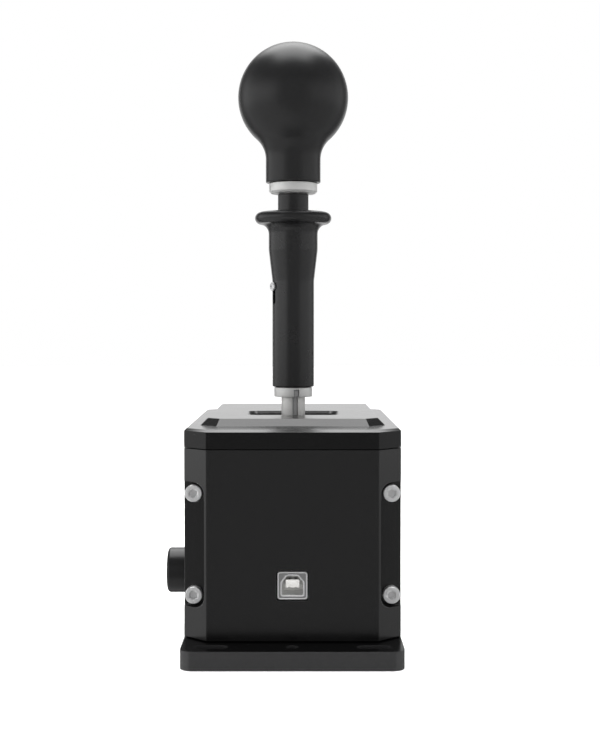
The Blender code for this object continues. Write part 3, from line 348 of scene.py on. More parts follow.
GRAIN, CLOUDS, RINGS, WEAR = grain_group(), cloud_group(), ring_group(), wear_group()
print("node groups:", [g.name for g in (GRAIN, CLOUDS, RINGS, WEAR)])

# %% [markdown]
# ## One recipe for all finishes
# Metal, anodised metal and plastic differ in their numbers far more than in their structure, so one function
# writes the whole material: a base colour that the grain mottles slightly, a roughness that the clouds drift,
# and a bump from the grain or the turning rings.
# It can also paint light by a face's slope: a lighter colour on upright faces, and a reflection that is stronger or
# weaker on upright faces than on level ones.

# %% The material recipe
RELIEF = 0.1 * MM
COAT_ROUGHNESS = 0.25


def finish(name, colour, roughness, metallic=0.0, grain=5000.0, bump=0.06, cloud=0.06, rings=0.0, turn=(0, 0, 0),
           worn=None, mottle=0.1, coat=0.0, ior=1.5, painted_upright_light=None, painted_reflection=None, turnover=1.0):
    """A procedural finish.

    grain is in grains per metre, bump its height share, cloud the drift of the roughness, rings the share of
    turning rings in the bump, turn the rotation that lays the lathe axis on Z, worn the colour of worn edges,
    flank the lighter colour painted on upright faces where it differs from that of level ones, as painted light,
    shine the strength of the reflection on upright and on level faces, a painted reflection set by slope, and
    turnover the slope at which a face counts as upright.
    """
    made = bpy.data.materials.new(name)
    made.use_nodes = True
    tree = made.node_tree
    place = add(tree, "ShaderNodeTexCoord").outputs
    mapped = add(tree, "ShaderNodeMapping", {"Vector": place["Object"], "Rotation": turn}).outputs[0]

    def placed(group, **values):
        return add(tree, "ShaderNodeGroup", {"Vector": mapped, **values}, node_tree=group).outputs

    grains = placed(GRAIN, Scale=grain)
    height = grains["Height"]
    if rings:
        kept = math_node(tree, "MULTIPLY", height, 1 - rings)
        height = math_node(tree, "ADD", kept, math_node(tree, "MULTIPLY", placed(RINGS)["Height"], rings))
    relief = add(tree, "ShaderNodeBump", {"Strength": bump, "Distance": RELIEF, "Height": height})
    dark, light = ([min(1.0, c * share) for c in colour] + [1] for share in (1 - mottle, 1 + mottle))
    surface = mixed(tree, grains["Mask"], dark, light)
    shader = {"Metallic": metallic, "Coat Weight": coat, "Coat Roughness": COAT_ROUGHNESS, "IOR": ior,
              "Roughness": placed(CLOUDS, Base=roughness, Amount=cloud)["Roughness"],
              "Normal": relief.outputs["Normal"]}
    if painted_reflection or painted_upright_light:
        facing = add(tree, "ShaderNodeSeparateXYZ", {0: place["Normal"]}).outputs["Z"]
        upright = math_node(tree, "SUBTRACT", 1.0, math_node(tree, "ABSOLUTE", facing))
    # Painted reflection: the reflection's strength follows the face's slope, so level and upright faces read lighter
    # or darker.
    if painted_reflection:
        shader["Specular IOR Level"] = ramp(tree, upright, 0.0, turnover, *reversed(painted_reflection))
    # Painted light: upright faces get a lighter colour than level ones.
    if painted_upright_light:
        surface = mixed(tree, upright, surface, (*painted_upright_light, 1))
    if worn:
        pointed = add(tree, "ShaderNodeNewGeometry").outputs["Pointiness"]
        surface = mixed(tree, placed(WEAR, Pointiness=pointed)["Mask"], surface, (*worn, 1))
    feed(tree, tree.nodes["Principled BSDF"].inputs, {**shader, "Base Color": surface})
    return made

# %% [markdown]
# The housing is bead blasted and anodised black: nearly colourless, satin, with a fine grain. The sleeve and
# the tube inside it are turned first, so faint rings run round them. The ball is moulded. Screws and the
# socket's shell are plated steel, the collar and the ring are bare turned aluminium, and the shaft is ground.
# The base plate's and the cover's blacks also paint light and shade by a face's slope.

# %% All finishes
SIDEWAYS = (0, math.pi / 2, 0)
BLACK = dict(colour=(0.0015, 0.0015, 0.0016), roughness=0.23, bump=0.05, cloud=0.04)
KNOB = dict(colour=(0.006, 0.006, 0.0063), cloud=0.04)
FINISHES = {
    "black_anodised": dict(BLACK, ior=1.72),
    "black_sleeve": dict(BLACK, colour=(0.005, 0.005, 0.0053), roughness=0.27, rings=0.5, ior=1.6),
    "knob_black": dict(KNOB, roughness=0.32, grain=3500, bump=0.04),
    "bright_steel": dict(colour=(0.92, 0.92, 0.925), roughness=0.42, metallic=0.88, grain=2500, bump=0.05,
                         cloud=0.12, mottle=0.06),
    "machined_aluminium": dict(colour=(0.86, 0.86, 0.85), roughness=0.55, metallic=0.89, bump=0.08, rings=0.8,
                               mottle=0.05),
    "ground_steel": dict(colour=(0.88, 0.875, 0.86), roughness=0.55, metallic=0.84, bump=0.08, rings=0.7,
                         mottle=0.05),
    "dark_steel": dict(colour=(0.45, 0.45, 0.45), roughness=0.5, metallic=0.8, bump=0.08, worn=(0.4, 0.4, 0.41)),
    "spring_steel": dict(colour=(0.42, 0.42, 0.43), roughness=0.28, metallic=1.0, bump=0.04),
    "pale_plastic": dict(colour=(0.68, 0.675, 0.65), roughness=0.48, grain=1800, bump=0.04, mottle=0.03),
    "black_plastic": dict(colour=(0.03, 0.03, 0.032), roughness=0.5, grain=2500, bump=0.1),
    "board_green": dict(colour=(0.018, 0.105, 0.05), roughness=0.35, grain=1200, bump=0.05, coat=0.4),
    "bronze": dict(colour=(0.46, 0.29, 0.13), roughness=0.42, metallic=1.0, grain=6000, bump=0.12, mottle=0.2),
    "pad_lining": dict(colour=(0.1, 0.075, 0.06), roughness=0.85, grain=1500, bump=0.3, mottle=0.4),
    "dull_steel": dict(colour=(0.55, 0.55, 0.555), roughness=0.5, metallic=1.0, bump=0.05),
    # Base plate: upright faces painted lighter as painted light, and level faces given almost no reflection as
    # painted shade.
    "base_black_painted_light": dict(BLACK, ior=1.75, painted_upright_light=(0.016, 0.016, 0.0165), painted_reflection=(0.5, 0.03), turnover=0.25),
    # Cover: reflection painted weaker on upright faces as painted shade, and stronger on level faces as a painted
    # highlight.
    "cover_black_painted_light": dict(BLACK, ior=1.72, painted_reflection=(0.24, 0.8)),
    "side_knob_black": dict(KNOB, roughness=0.28, bump=0.05, rings=0.5, turn=SIDEWAYS),
}
LOOKS = {name: finish(name, **settings) for name, settings in FINISHES.items()}
for part in frame["record"]["subparts"]:
    node = frame["nodes"][part["node"]]
    node.data.materials.clear()
    node.data.materials.append(LOOKS[part["material_slot"]])
print("finishes:", len(LOOKS))

# %% [markdown]
# ## Screws and their bores
# Each socket head cap screw is turned: the profile runs from the floor of the hexagon socket, up its wall, over
# the head's chamfer and down the shank. A function of the angle then pushes the socket's rows out to a hexagon,
# r = a / cos(angle to the nearest flat), and ripples the head's side into a knurl. The same table of screws later
# drills the plates, so that a screw and its bore can't drift apart.

# %% Socket head cap screws
SLACK = 0.3 * MM
OVER = 1 * MM
SCREW_KINDS = {"rear_screw": ("-Y", 4 * MM, 4), "front_screw": ("Y", 4 * MM, 4), "base_screw": ("-Z", 4 * MM, 4),
               "cover_screw": ("-Z", 4 * MM, 4), "gate_screw": ("Z", 3 * MM, 2)}
SCREWS = {f"{kind}_{n + 1}": (axis, size) for kind, (axis, size, count) in SCREW_KINDS.items() for n in range(count)}
KNURLS, KNURL_DEPTH = 48, 0.018
HEXAGON_ROWS, KNURL_ROWS = (0, 1, 2), (5, 6)
SCREW_SHARES = np.array([0.375, 0.875, 0.07, 0.42])


def bore(at, radius, start, stop, axis="Z"):
    """A round cutter along an axis, from one height to another."""
    return turned("bore", [(0, stop), (radius, stop), (radius, start), (0, start)], at, axis, 48)


def seat(node):
    """Centre of the underside of a screw's head, and the length of the shank below it."""
    axis, size = SCREWS[node]
    low, high = span(node)
    out = AXES[axis][2]
    length = abs((high - low) @ out)
    return (low + high) / 2 + out * (length / 2 - size), length - size


def shank_bore(node):
    """Clearance bore for a screw's shank."""
    axis, size = SCREWS[node]
    spot, length = seat(node)
    return bore(spot, size / 2 + SLACK, -length - SLACK, OVER, axis)


def cap_screw(node):
    """Head of 1.75 sizes by 1 size, hexagon of 0.75 sizes across its flats, shank of 1 size."""
    axis, size = SCREWS[node]
    spot, length = seat(node)
    flat, head, edge, floor = size * SCREW_SHARES
    rim = flat / math.cos(math.pi / 6) + edge
    profile = [(0, floor), (flat, floor), (flat, size - edge), (rim, size), (head - edge, size),
               (head, size - edge), (head, edge), (head - edge, 0), (size / 2, 0), (size / 2, edge - length),
               (size / 2 - edge, -length), (0, -length)]
    row = np.arange(len(profile))[:, None]

    def shape(radius, angle):
        sixth = np.pi / 3
        hexagon = radius / np.cos((angle + sixth / 2) % sixth - sixth / 2)
        knurl = radius * (1 - KNURL_DEPTH * (1 + np.cos(KNURLS * angle)) / 2)
        return np.where(np.isin(row, HEXAGON_ROWS), hexagon, np.where(np.isin(row, KNURL_ROWS), knurl, radius))

    return smooth(turned(node + "_turned", profile, spot, axis, KNURLS * 4, shape), 20)


for screw_name in SCREWS:
    settle(cap_screw(screw_name), "housing", "bright_steel", screw_name)

# %% [markdown]
# ## Base plate
# A plate with round corners, two slots and a hole at each end, and counterbores underneath for the screws that
# hold the side plates. Once the holes are cut, all its edges are broken, as a deburring tool does: the thin line
# of light along its top edge comes from that.

# %% Base plate
plate_low, plate_high = span("base_plate")
PLATE_CORNER, PEG_RADIUS, PLATE_EDGE = mm(5, 2.5, 0.55)
SLOT_HALF = mm(7.0, 2.75)
SLOT_INSET = mm(11.7, 7.8)


def base_plate():
    """The plate's outline, minus slots, peg holes, counterbores and screw bores."""
    half = plate_high[:2]
    plate = prism("base_plate_milled", box_outline(*half, PLATE_CORNER, 12), plate_high[2], plate_low[2])
    slot = box_outline(*SLOT_HALF, SLOT_HALF[1] * 0.999, 10)
    top, foot = plate_high[2] + OVER, plate_low[2] - OVER
    tools = []
    for side in (-1, 1):
        y = side * (half[1] - SLOT_INSET[1])
        tools.append(bore((0, y, 0), PEG_RADIUS, foot, top))
        for hand in (-1, 1):
            tools.append(prism("slot", slot + (hand * (half[0] - SLOT_INSET[0]), y), top, foot))
    for name in SCREWS:
        if name.startswith("base"):
            spot, _ = seat(name)
            head = (span(name)[1] - span(name)[0])[0] / 2
            tools += [bore((*spot[:2], 0), head + 2 * SLACK, foot, spot[2] + SLACK), shank_bore(name)]
        if name.startswith("gate"):
            tools.append(shank_bore(name))
    return break_edges(carve(plate, *tools), PLATE_EDGE, 2)


# The base plate's look paints light by slope: lighter upright faces, and level faces with almost no reflection.
settle(base_plate(), "housing", "black_anodised", "base_plate", look="base_black_painted_light")

# %% [markdown]
# ## End blocks and side plates
# The body is four plates: a thick block at each end, screwed into the ends of two side plates. The blocks carry
# the 45 degree corners, and a milled pocket in each corner gives the screws a flat seat. A pocket is a U that is
# open towards the side, because the cutter comes in from there. The rear block is also cut through for the USB
# socket and hollowed behind it.

# %% End blocks
block_low, block_high = span("rear_end_plate")
CHAMFER, POCKET_RADIUS, POCKET_DEPTH = mm(9.5, 4.6, 10.5)
SOCKET_FIT, SOCKET_CORNER = mm(0.4, 1.4)
HOLLOW_HALF = mm(28.0, 24.0)
SKIN, HOLLOW_CORNER, BLOCK_EDGE = mm(3, 2, 0.3)


def pocket_tool(hand, end):
    """U-shaped cutter: quarter circles about the two screws' centres, and straight sides out past the plate."""
    (x, _, low), (_, _, top) = middle("rear_screw_1"), middle("rear_screw_3")
    left, right = abs(x) - POCKET_RADIUS, block_high[0] + OVER
    corners = [(right, top + POCKET_RADIUS), (left, top + POCKET_RADIUS), (left, low - POCKET_RADIUS),
               (right, low - POCKET_RADIUS)]
    outline = soften(corners, [0, POCKET_RADIUS, POCKET_RADIUS, 0], 12) * (hand, 1)
    face = -block_low[1]
    return prism("pocket", outline, -end * (face + OVER), -end * (face - POCKET_DEPTH), "-Y")


def end_block(name, end):
    """Block outline in plan carried up its height, minus its pockets and screw bores."""
    low, high = span(name)
    face, inner = (low[1], high[1]) if end < 0 else (high[1], low[1])
    x = high[0]
    corners = [(x, inner), (x, face - end * CHAMFER), (x - CHAMFER, face), (CHAMFER - x, face),
               (-x, face - end * CHAMFER), (-x, inner)]
    block = prism(name + "_milled", corners, high[2], low[2])
    kind = name.split("_")[0]
    tools = [pocket_tool(hand, end) for hand in (-1, 1)]
    tools += [shank_bore(screw) for screw in SCREWS if screw.startswith(kind)]
    if end < 0:
        shell_low, shell_high = span("usb_shell")
        half = (shell_high - shell_low)[[0, 2]] / 2 + SOCKET_FIT
        hole = box_outline(*half, SOCKET_CORNER, 6) + (0, middle("usb_shell")[2])
        tools.append(prism("socket_hole", hole, -low[1] + OVER, -high[1] - OVER, "-Y"))
        foot = span("main_circuit_board")[0][2] - SLACK
        hollow = box_outline(*HOLLOW_HALF, HOLLOW_CORNER) + (0, foot + HOLLOW_HALF[1])
        tools.append(prism("hollow", hollow, -low[1] - SKIN, -high[1] - OVER, "-Y"))
    return break_edges(carve(block, *tools), BLOCK_EDGE)


for name, end in (("rear_end_plate", -1), ("front_end_plate", 1)):
    settle(end_block(name, end), "housing", "black_anodised", name)

# %% [markdown]
# The side plates are L-shaped in section: a wall, and a ledge along its top that the cover is screwed to from
# below. Each has a blind seat for the bush that the cradle turns in, and the left one is drilled for the side
# knob's screw.

# %% Side plates
WALL, LEDGE, BUSH_SEAT, BUSH_END, FEED_BORE = mm(8, 6, 7.3, 42.5, 3.25)


def side_plate(node, hand):
    """L section carried along Y, with its bores cut."""
    low, high = span(node)
    outer, inner = (high[0], low[0]) if hand > 0 else (-low[0], -high[0])
    section = [(outer, low[2]), (outer, high[2]), (inner, high[2]), (inner, high[2] - LEDGE),
               (outer - WALL, high[2] - LEDGE), (outer - WALL, low[2])]
    plate = prism(node + "_milled", np.array(section) * (hand, 1), -low[1], -high[1], "-Y")
    bush = middle("left_pivot_bush") * (0, 1, 1)
    seat_inner = outer - WALL - OVER
    tools = [bore(bush, BUSH_SEAT, *sorted((-hand * seat_inner, -hand * BUSH_END)), "-X")]
    tools += [shank_bore(screw) for screw in SCREWS if middle(screw)[0] * hand > inner]
    if hand < 0:
        tools.append(bore(middle("resistance_screw") * (0, 1, 1), FEED_BORE, seat_inner, outer + OVER, "-X"))
    return break_edges(carve(plate, *tools), BLOCK_EDGE)


for name, hand in (("left_side_plate", -1), ("right_side_plate", 1)):
    settle(side_plate(name, hand), "housing", "black_anodised", name)

# %% [markdown]
# ## Cover
# The cover is two lofts joined: a plate whose rim is chamfered by 1 mm, and a plateau whose sides slope at 45
# degrees. Both follow a rectangle with cut corners. Moving that outline in by d shortens each corner cut by
# (2 - sqrt 2) d, which keeps the slope even all round. The lever's window goes through both. A small shift
# pattern, three lanes and a cross lane, is engraved in the rear ledge.

# %% Cover
RIM, RISE, PLATEAU_X, COVER_EDGE = mm(1, 3, 38.5, 0.35)
PLATEAU_LEDGES = mm(19, 8.5)
PLATEAU_CUTS = mm(7, 2)
WINDOW_HALF = mm(20.25, 14.5)
WINDOW_CORNER, WINDOW_CHAMFER = mm(5, 1.2)
MARK_DEPTH, MARK_LINE = mm(0.15, 0.3)
MARK_HALF = mm(6.0, 2.2)


def cut_rectangle(half_x, rear, front, rear_cut, front_cut, inset=0.0, extra=0.0):
    """Rectangle with cut corners, moved in by an inset, and by a little extra at the rear."""
    a = rear_cut - inset * (2 - math.sqrt(2))
    b = front_cut - inset * (2 - math.sqrt(2))
    x, rear, front = half_x - inset, rear + inset + extra, front - inset
    right = [(x - a, rear), (x, rear + a), (x, front - b), (x - b, front)]
    return np.array(right + [(-u, v) for u, v in reversed(right)])


def mark_lines(y, top):
    """Tools for the engraved shift pattern: three lanes and the cross lane that joins them."""
    lane = box_outline(MARK_LINE, MARK_HALF[1], MARK_LINE * 0.99, 4)
    cross = box_outline(MARK_HALF[0] + MARK_LINE, MARK_LINE, MARK_LINE * 0.99, 4)
    lines = [lane + (n * MARK_HALF[0], y) for n in (-1, 0, 1)] + [cross + (0, y)]
    return [prism("mark", line, top + OVER, top - MARK_DEPTH) for line in lines]


def top_cover():
    """Rim plate and plateau joined, then the window, screw bores and mark cut."""
    low, high = span("top_cover")
    x, y = high[:2]
    ledge = high[2] - RISE
    full = cut_rectangle(x, -y, y, CHAMFER, CHAMFER)
    rim = cut_rectangle(x, -y, y, CHAMFER, CHAMFER, RIM, 0.4 * RIM)
    cover = stack("top_cover_milled", [(rim, ledge), (full, ledge - RIM), (full, low[2])])
    outline = (PLATEAU_X, PLATEAU_LEDGES[0] - y, y - PLATEAU_LEDGES[1], *PLATEAU_CUTS)
    foot, crown = cut_rectangle(*outline), cut_rectangle(*outline, RISE)
    carve(cover, stack("plateau", [(crown, high[2]), (foot, ledge), (foot, ledge - 2 * RIM)]), operation="UNION")
    centre = (0, middle("lever_shaft")[1])
    levels = [(OVER, high[2] + OVER), (-WINDOW_CHAMFER, high[2] - WINDOW_CHAMFER), (-WINDOW_CHAMFER, low[2] - OVER)]
    window = stack("window", [(box_outline(*(WINDOW_HALF + grow), WINDOW_CORNER + grow, 12) + centre, z)
                              for grow, z in levels])
    carve(cover, window, *[shank_bore(screw) for screw in SCREWS if screw.startswith("cover")])
    break_edges(cover, COVER_EDGE, 2)
    return carve(cover, *mark_lines(PLATEAU_LEDGES[0] / 2 - y, ledge))


# The cover's look paints its reflection by slope: weaker on upright faces, stronger on level ones.
settle(top_cover(), "housing", "black_anodised", "top_cover", look="cover_black_painted_light")

# %% [markdown]
# ## USB socket
# The shell is drawn from sheet and has two bright rims, one round its outside and one round its mouth, with a
# recessed face between them. The outer outline is a rounded square and the mouth is house-shaped, so their
# points don't match. `radial` solves that: it reads any outline's radius at evenly spaced angles, so that every
# ring has the same number of points. The tongue inside carries four contacts, in slots above and grooves below.

# %% USB socket
USB_POINTS = 240
USB_RIM, INNER_RIM, USB_RECESS, USB_ROUND = mm(0.45, 0.62, 0.4, 0.12)
SHELL_CORNER = 1.1 * MM
MOUTH_HALF = mm(4.225, 3.89)
MOUTH_CUT = mm(2.1, 2.6)
MOUTH_CORNERS = mm(1.2, 1.2, 1.2, 1.2, 0.5, 0.5)
TONGUE = mm(5.5, 3.3)
CONTACT, CONTACT_X = mm(0.9, 1.28)
GROOVE_HALF, SLOT_CORNER = mm(0.3, 0.05)
STRIP_HALF = mm(0.35, 0.09)
USB_SEAM, FACE_GAP = mm(0.05, 0.04)
USB_CENTRE = middle("usb_shell") * (1, 0, 1)
usb_low, usb_high = span("usb_shell")
tongue_low, tongue_high = span("usb_insulator")


def radial(outline):
    """An outline's points at evenly spaced angles: its radius is interpolated over its own angle."""
    edges = np.vstack([outline, outline[:1]])
    t = np.linspace(0, 1, 200, endpoint=False)[:, None, None]
    dense = (edges[:-1] * (1 - t) + edges[1:] * t).transpose(1, 0, 2).reshape(-1, 2)
    angle = np.arctan2(dense[:, 1], dense[:, 0])
    even = np.linspace(-np.pi, np.pi, USB_POINTS, endpoint=False)
    order = np.argsort(angle)
    radius = np.interp(even, angle[order], np.hypot(*dense.T)[order], period=2 * np.pi)
    return np.column_stack([np.cos(even), np.sin(even)]) * radius[:, None]


def mouth(grow=0.0):
    """The mouth: a rectangle with its upper corners cut, grown outwards evenly, all corners softened."""
    x, z = MOUTH_HALF + grow
    cut, drop = MOUTH_CUT + grow * (2 - math.sqrt(2))
    house = [(x, z - drop), (x - cut, z), (cut - x, z), (-x, z - drop), (-x, -z), (x, -z)]
    return soften(house, MOUTH_CORNERS + grow, 6)


def shell(inset):
    """The shell's outline: a square with round corners, moved in by an inset."""
    return box_outline(*((usb_high - usb_low)[[0, 2]] / 2 - inset), SHELL_CORNER - inset * 0.8, 8)


def usb_rings(name, levels):
    """A closed ring from the outline that is drawn, its size, and its distance behind the front."""
    pairs = [(radial(draw(size)), -usb_low[1] - depth) for draw, size, depth in levels]
    return smooth(stack(name, pairs, "-Y", USB_CENTRE, True))


def usb_shell():
    """Rings round the shell's wall: outside, back, mouth, inner rim, recess and outer rim."""
    back, recess, rim = usb_high[1] - usb_low[1], 2 * USB_RECESS, USB_RIM + USB_ROUND
    return usb_rings("usb_shell_drawn", [
        (shell, USB_ROUND, 0), (shell, 0, USB_ROUND), (shell, 0, back), (mouth, 0, back), (mouth, 0, USB_ROUND),
        (mouth, USB_ROUND, 0), (mouth, INNER_RIM - USB_ROUND, 0), (mouth, INNER_RIM, USB_ROUND),
        (mouth, INNER_RIM, recess), (shell, rim, recess), (shell, rim, USB_ROUND), (shell, USB_RIM, 0)])


def usb_face():
    """Duller sheet that lies in the recess between the two rims."""
    inner, outer = INNER_RIM + FACE_GAP, USB_RIM + USB_ROUND + FACE_GAP
    near, far = USB_RECESS, 1.6 * USB_RECESS
    return usb_rings("usb_face", [(shell, outer, near), (shell, outer, far), (mouth, inner, far),
                                  (mouth, inner, near)])


def usb_insulator():
    """Block that fills the mouth's rear, and the tongue with two wide slots on top and two grooves below."""
    tip, back, step = -tongue_low[1], -tongue_high[1], -tongue_high[1] + 6 * MM
    block = prism("usb_insulator_moulded", mouth(-USB_SEAM), back, step, "-Y", USB_CENTRE)
    tongue = prism("tongue", box_outline(*(TONGUE / 2), 0.25 * MM, 4), tip, step - 3 * MM, "-Y", USB_CENTRE)
    carve(block, tongue, operation="UNION")
    cuts = []
    for x in (-CONTACT_X, CONTACT_X):
        slot = box_outline(CONTACT * 0.7, CONTACT * 1.2, SLOT_CORNER, 3) + (x, TONGUE[1] / 2 + CONTACT * 0.4)
        groove = box_outline(CONTACT / 2, GROOVE_HALF, SLOT_CORNER, 3) + (x, -TONGUE[1] / 2)
        for outline, start in ((slot, tip - CONTACT / 2), (groove, tip + OVER)):
            cuts.append(prism("contact_slot", outline, start, step - 2 * MM, "-Y", USB_CENTRE))
    return break_edges(carve(block, *cuts), 0.06 * MM, 2)


def usb_contacts():
    """Four plated strips that lie in the tongue's slots and grooves."""
    tip = -tongue_low[1]
    spots = [(x, z) for x in (-CONTACT_X, CONTACT_X) for z in (TONGUE[1] / 2 - 0.6 * MM, 0.2 * MM - TONGUE[1] / 2)]
    strips = [prism("usb_contacts", box_outline(*STRIP_HALF, 0.04 * MM, 3) + spot, tip - 0.6 * MM, tip - 7 * MM,
                    "-Y", USB_CENTRE) for spot in spots]
    return smooth(carve(strips[0], *strips[1:], operation="UNION"))


settle(usb_shell(), "housing", "bright_steel", "usb_shell")
settle(usb_face(), "housing", "bright_steel", look="dull_steel")
settle(usb_insulator(), "housing", "pale_plastic", "usb_insulator")
settle(usb_contacts(), "housing", "dark_steel")

# %% [markdown]
# ## Lever
# The shaft is a ground bar with a keyway milled along its rear. The keyway and the key that slides in it are
# turned 10 degrees round the lever: `about_lever` does that to their outlines, and everything else is round.

# %% Shaft, key and lock collar
LEVER = middle("lever_shaft") * (1, 1, 0)
KEY_TURN = math.radians(10)
SHAFT_EDGE, FINE_EDGE, SLEEVE_GAP = mm(0.5, 0.25, 0.25)
KEY_HALF, KEY_DEPTH = mm(1.15, 2)
LIFT, NOTCH = mm(6, 3.3)
shaft_low, shaft_high = span("lever_shaft")
SHAFT = shaft_high[0]
key_low, key_high = span("lockout_key")
collar_low, collar_high = span("lock_collar")


def about_lever(points, angle=KEY_TURN):
    """Turn plan points about the lever's axis, then place them on it."""
    c, s = math.cos(angle), math.sin(angle)
    return np.asarray(points, float) @ np.array([[c, s], [-s, c]]) + LEVER[:2]


def rear_bar(half_x, near, far):
    """Plan outline of a bar behind the lever, between two distances from its axis."""
    return about_lever([(half_x, -near), (-half_x, -near), (-half_x, -far), (half_x, -far)])


def round_bar(name, radius, foot, top, edge, bore_radius=0.0):
    """A turned bar or tube with its edges broken by small arcs."""
    corners = [(bore_radius, top), (radius, top), (radius, foot), (bore_radius, foot)]
    if bore_radius:
        return turned(name, soften(corners, edge, 4), LEVER, ring=True)
    return turned(name, soften(corners, [0, edge, edge, 0], 4, closed=False), LEVER)


def lever_shaft():
    """Ground bar with its keyway."""
    shaft = round_bar("lever_shaft_ground", SHAFT, shaft_low[2], shaft_high[2], SHAFT_EDGE)
    foot, top = key_low[2] - LIFT, collar_high[2] + LIFT + 2 * SLACK
    keyway = prism("keyway", rear_bar(KEY_HALF, SHAFT - KEY_DEPTH, SHAFT + OVER), top, foot)
    return smooth(carve(shaft, keyway))


def lock_collar():
    """Ring with broken edges and a notch up from its foot, where the key's tab sits."""
    collar = round_bar("lock_collar_turned", collar_high[0], collar_low[2], collar_high[2], FINE_EDGE, SHAFT + SLACK)
    notch = prism("notch", rear_bar(KEY_HALF, SHAFT - OVER, collar_high[0] + OVER), collar_low[2] + NOTCH,
                  collar_low[2] - OVER)
    return smooth(carve(collar, notch))


def lockout_key():
    """Flat bar in the keyway with a tab that reaches out through the collar's notch."""
    half = KEY_HALF - SLACK
    bar = prism("lockout_key_milled", rear_bar(half, SHAFT - KEY_DEPTH + SLACK, SHAFT - SLACK),
                key_high[2], key_low[2])
    tab = prism("tab", rear_bar(half, SHAFT - OVER, collar_high[0] - 2 * SLACK), key_high[2],
                collar_low[2] + SLACK)
    return break_edges(carve(bar, tab, operation="UNION"), 0.1 * MM, 2)


settle(lever_shaft(), "lever", "ground_steel", "lever_shaft")
settle(lock_collar(), "sleeve", "machined_aluminium", "lock_collar")
settle(lockout_key(), "sleeve", "dark_steel", "lockout_key")

# %% [markdown]
# The lift sleeve is one turned profile: a straight tube, a shallow taper, a neck, and a flange to pull on with
# two fingers. The concave fillet under the flange has to touch the rim's arc and the neck's straight side. If the
# rim's arc has radius e and centre (m, n), and the fillet's centre sits at height k and radius R + f, touching the
# neck at R, then (m - R - f)^2 + (n - k)^2 = (e + f)^2, which gives f. A slot in its left side runs on the guide
# screw's shank and limits the lift.

# %% Lift sleeve and guide tube
sleeve_low, sleeve_high = span("lift_sleeve")
tube_low, tube_high = span("guide_tube")
SLEEVE, NECK, FLANGE = mm(9.2, 10.8, 16.85)
FLANGE_EDGE, FILLET_Z = mm(2.6, 174.5)
TAPER = mm(167.5, 153.8)
STEP = 2 * MM
SLEEVE_ROUNDS = mm(0, 6, 6, 0.5, 0.2, 0.2, 0.2, 0.3, 0)
SHANK = 1.3 * MM
GUIDE_TURN = math.radians(22)
GUIDE_HEAD = mm(2.0, 1.0)
GUIDE_ROUNDS = mm(0, 0.5, 0.3, 0.05, 0.05, 0.2, 0)
CROSS_HALF, CROSS_DEPTH, CUT_CORNER = mm(1.15, 0.24), 0.7 * MM, 0.1 * MM
GUIDE_Z = middle("guide_screw")[2]


def lift_sleeve():
    """Outer profile with its two arcs, stepped bore, then the slot."""
    top, foot = sleeve_high[2], sleeve_low[2]
    rim = np.array([FLANGE - FLANGE_EDGE, top - FLANGE_EDGE])
    rise, reach = rim[1] - FILLET_Z, rim[0] - NECK
    fillet = (rise ** 2 + reach ** 2 - FLANGE_EDGE ** 2) / (2 * (FLANGE_EDGE + reach))
    lean = math.degrees(math.atan2(rise, reach - fillet))
    outer = arc(rim, FLANGE_EDGE, 90, lean - 180, 24)
    blend = arc((NECK + fillet, FILLET_Z), fillet, lean, 180, 14)[1:]
    tight, inside = SHAFT + SLACK, tube_high[0] + SLEEVE_GAP
    rest = soften([blend[-1], (NECK, TAPER[0]), (SLEEVE, TAPER[1]), (SLEEVE, foot), (tight, foot),
                   (tight, foot + STEP), (inside, foot + STEP), (inside, top), outer[0]],
                  SLEEVE_ROUNDS, 6, closed=False)
    profile = np.vstack([outer, blend, rest[1:-1]])
    sleeve = turned("lift_sleeve_turned", profile, LEVER, columns=160, ring=True)
    run = np.array([SHANK + SLACK, (LIFT + SLACK) / 2 + SHANK + SLACK])
    slot = box_outline(*run, run[0] * 0.999, 10) + (0, (LIFT + SLACK) / 2)
    slot_tool = prism("guide_slot", slot, tube_high[0], SLEEVE + STEP, "-X", (0, 0, GUIDE_Z))
    return smooth(carve(sleeve, turn_tool(slot_tool)), 35)


def turn_tool(piece):
    """Turn a piece that was made about the world's Z axis, then put it on the lever's axis."""
    for vertex in piece.data.vertices:
        vertex.co[:2] = about_lever(vertex.co[:2], GUIDE_TURN)
    return piece


def guide_tube():
    """Tube between the shaft and the sleeve, drilled for the guide screw."""
    tube = round_bar("guide_tube_turned", tube_high[0], tube_low[2], tube_high[2], FINE_EDGE, SHAFT + SLACK)
    hole = bore((0, 0, GUIDE_Z), SHANK + SLACK, SHAFT, tube_high[0] + OVER, "-X")
    return smooth(carve(tube, turn_tool(hole)))


def guide_screw():
    """Pan head with a cross recess, on a plain shank, turned towards the rear."""
    head, thick = GUIDE_HEAD
    seat_r = SLEEVE + SLACK
    top, tip = seat_r + thick, SHAFT + 2 * SLACK
    crown = soften([(0, top), (head * 0.72, top), (head, seat_r + thick * 0.45), (head, seat_r), (SHANK, seat_r),
                    (SHANK, tip), (0, tip)], GUIDE_ROUNDS, 6, closed=False)
    screw = turned("guide_screw_turned", crown, (0, 0, GUIDE_Z), "-X", 96)
    bars = [prism("cross", box_outline(*half, CUT_CORNER, 3), top + OVER, top - CROSS_DEPTH, "-X",
                  (0, 0, GUIDE_Z)) for half in (CROSS_HALF, CROSS_HALF[::-1])]
    return smooth(turn_tool(carve(screw, *bars)))


settle(lift_sleeve(), "sleeve", "black_sleeve", "lift_sleeve")
settle(guide_tube(), "lever", "black_sleeve", "guide_tube")
settle(guide_screw(), "lever", "bright_steel", "guide_screw")

# %% [markdown]
# The ball is blended into its straight neck the same way: a fillet that touches the ball from outside and the
# neck's side. The ring under it is a lock nut of bare aluminium with a chamfered foot and two spanner slots.

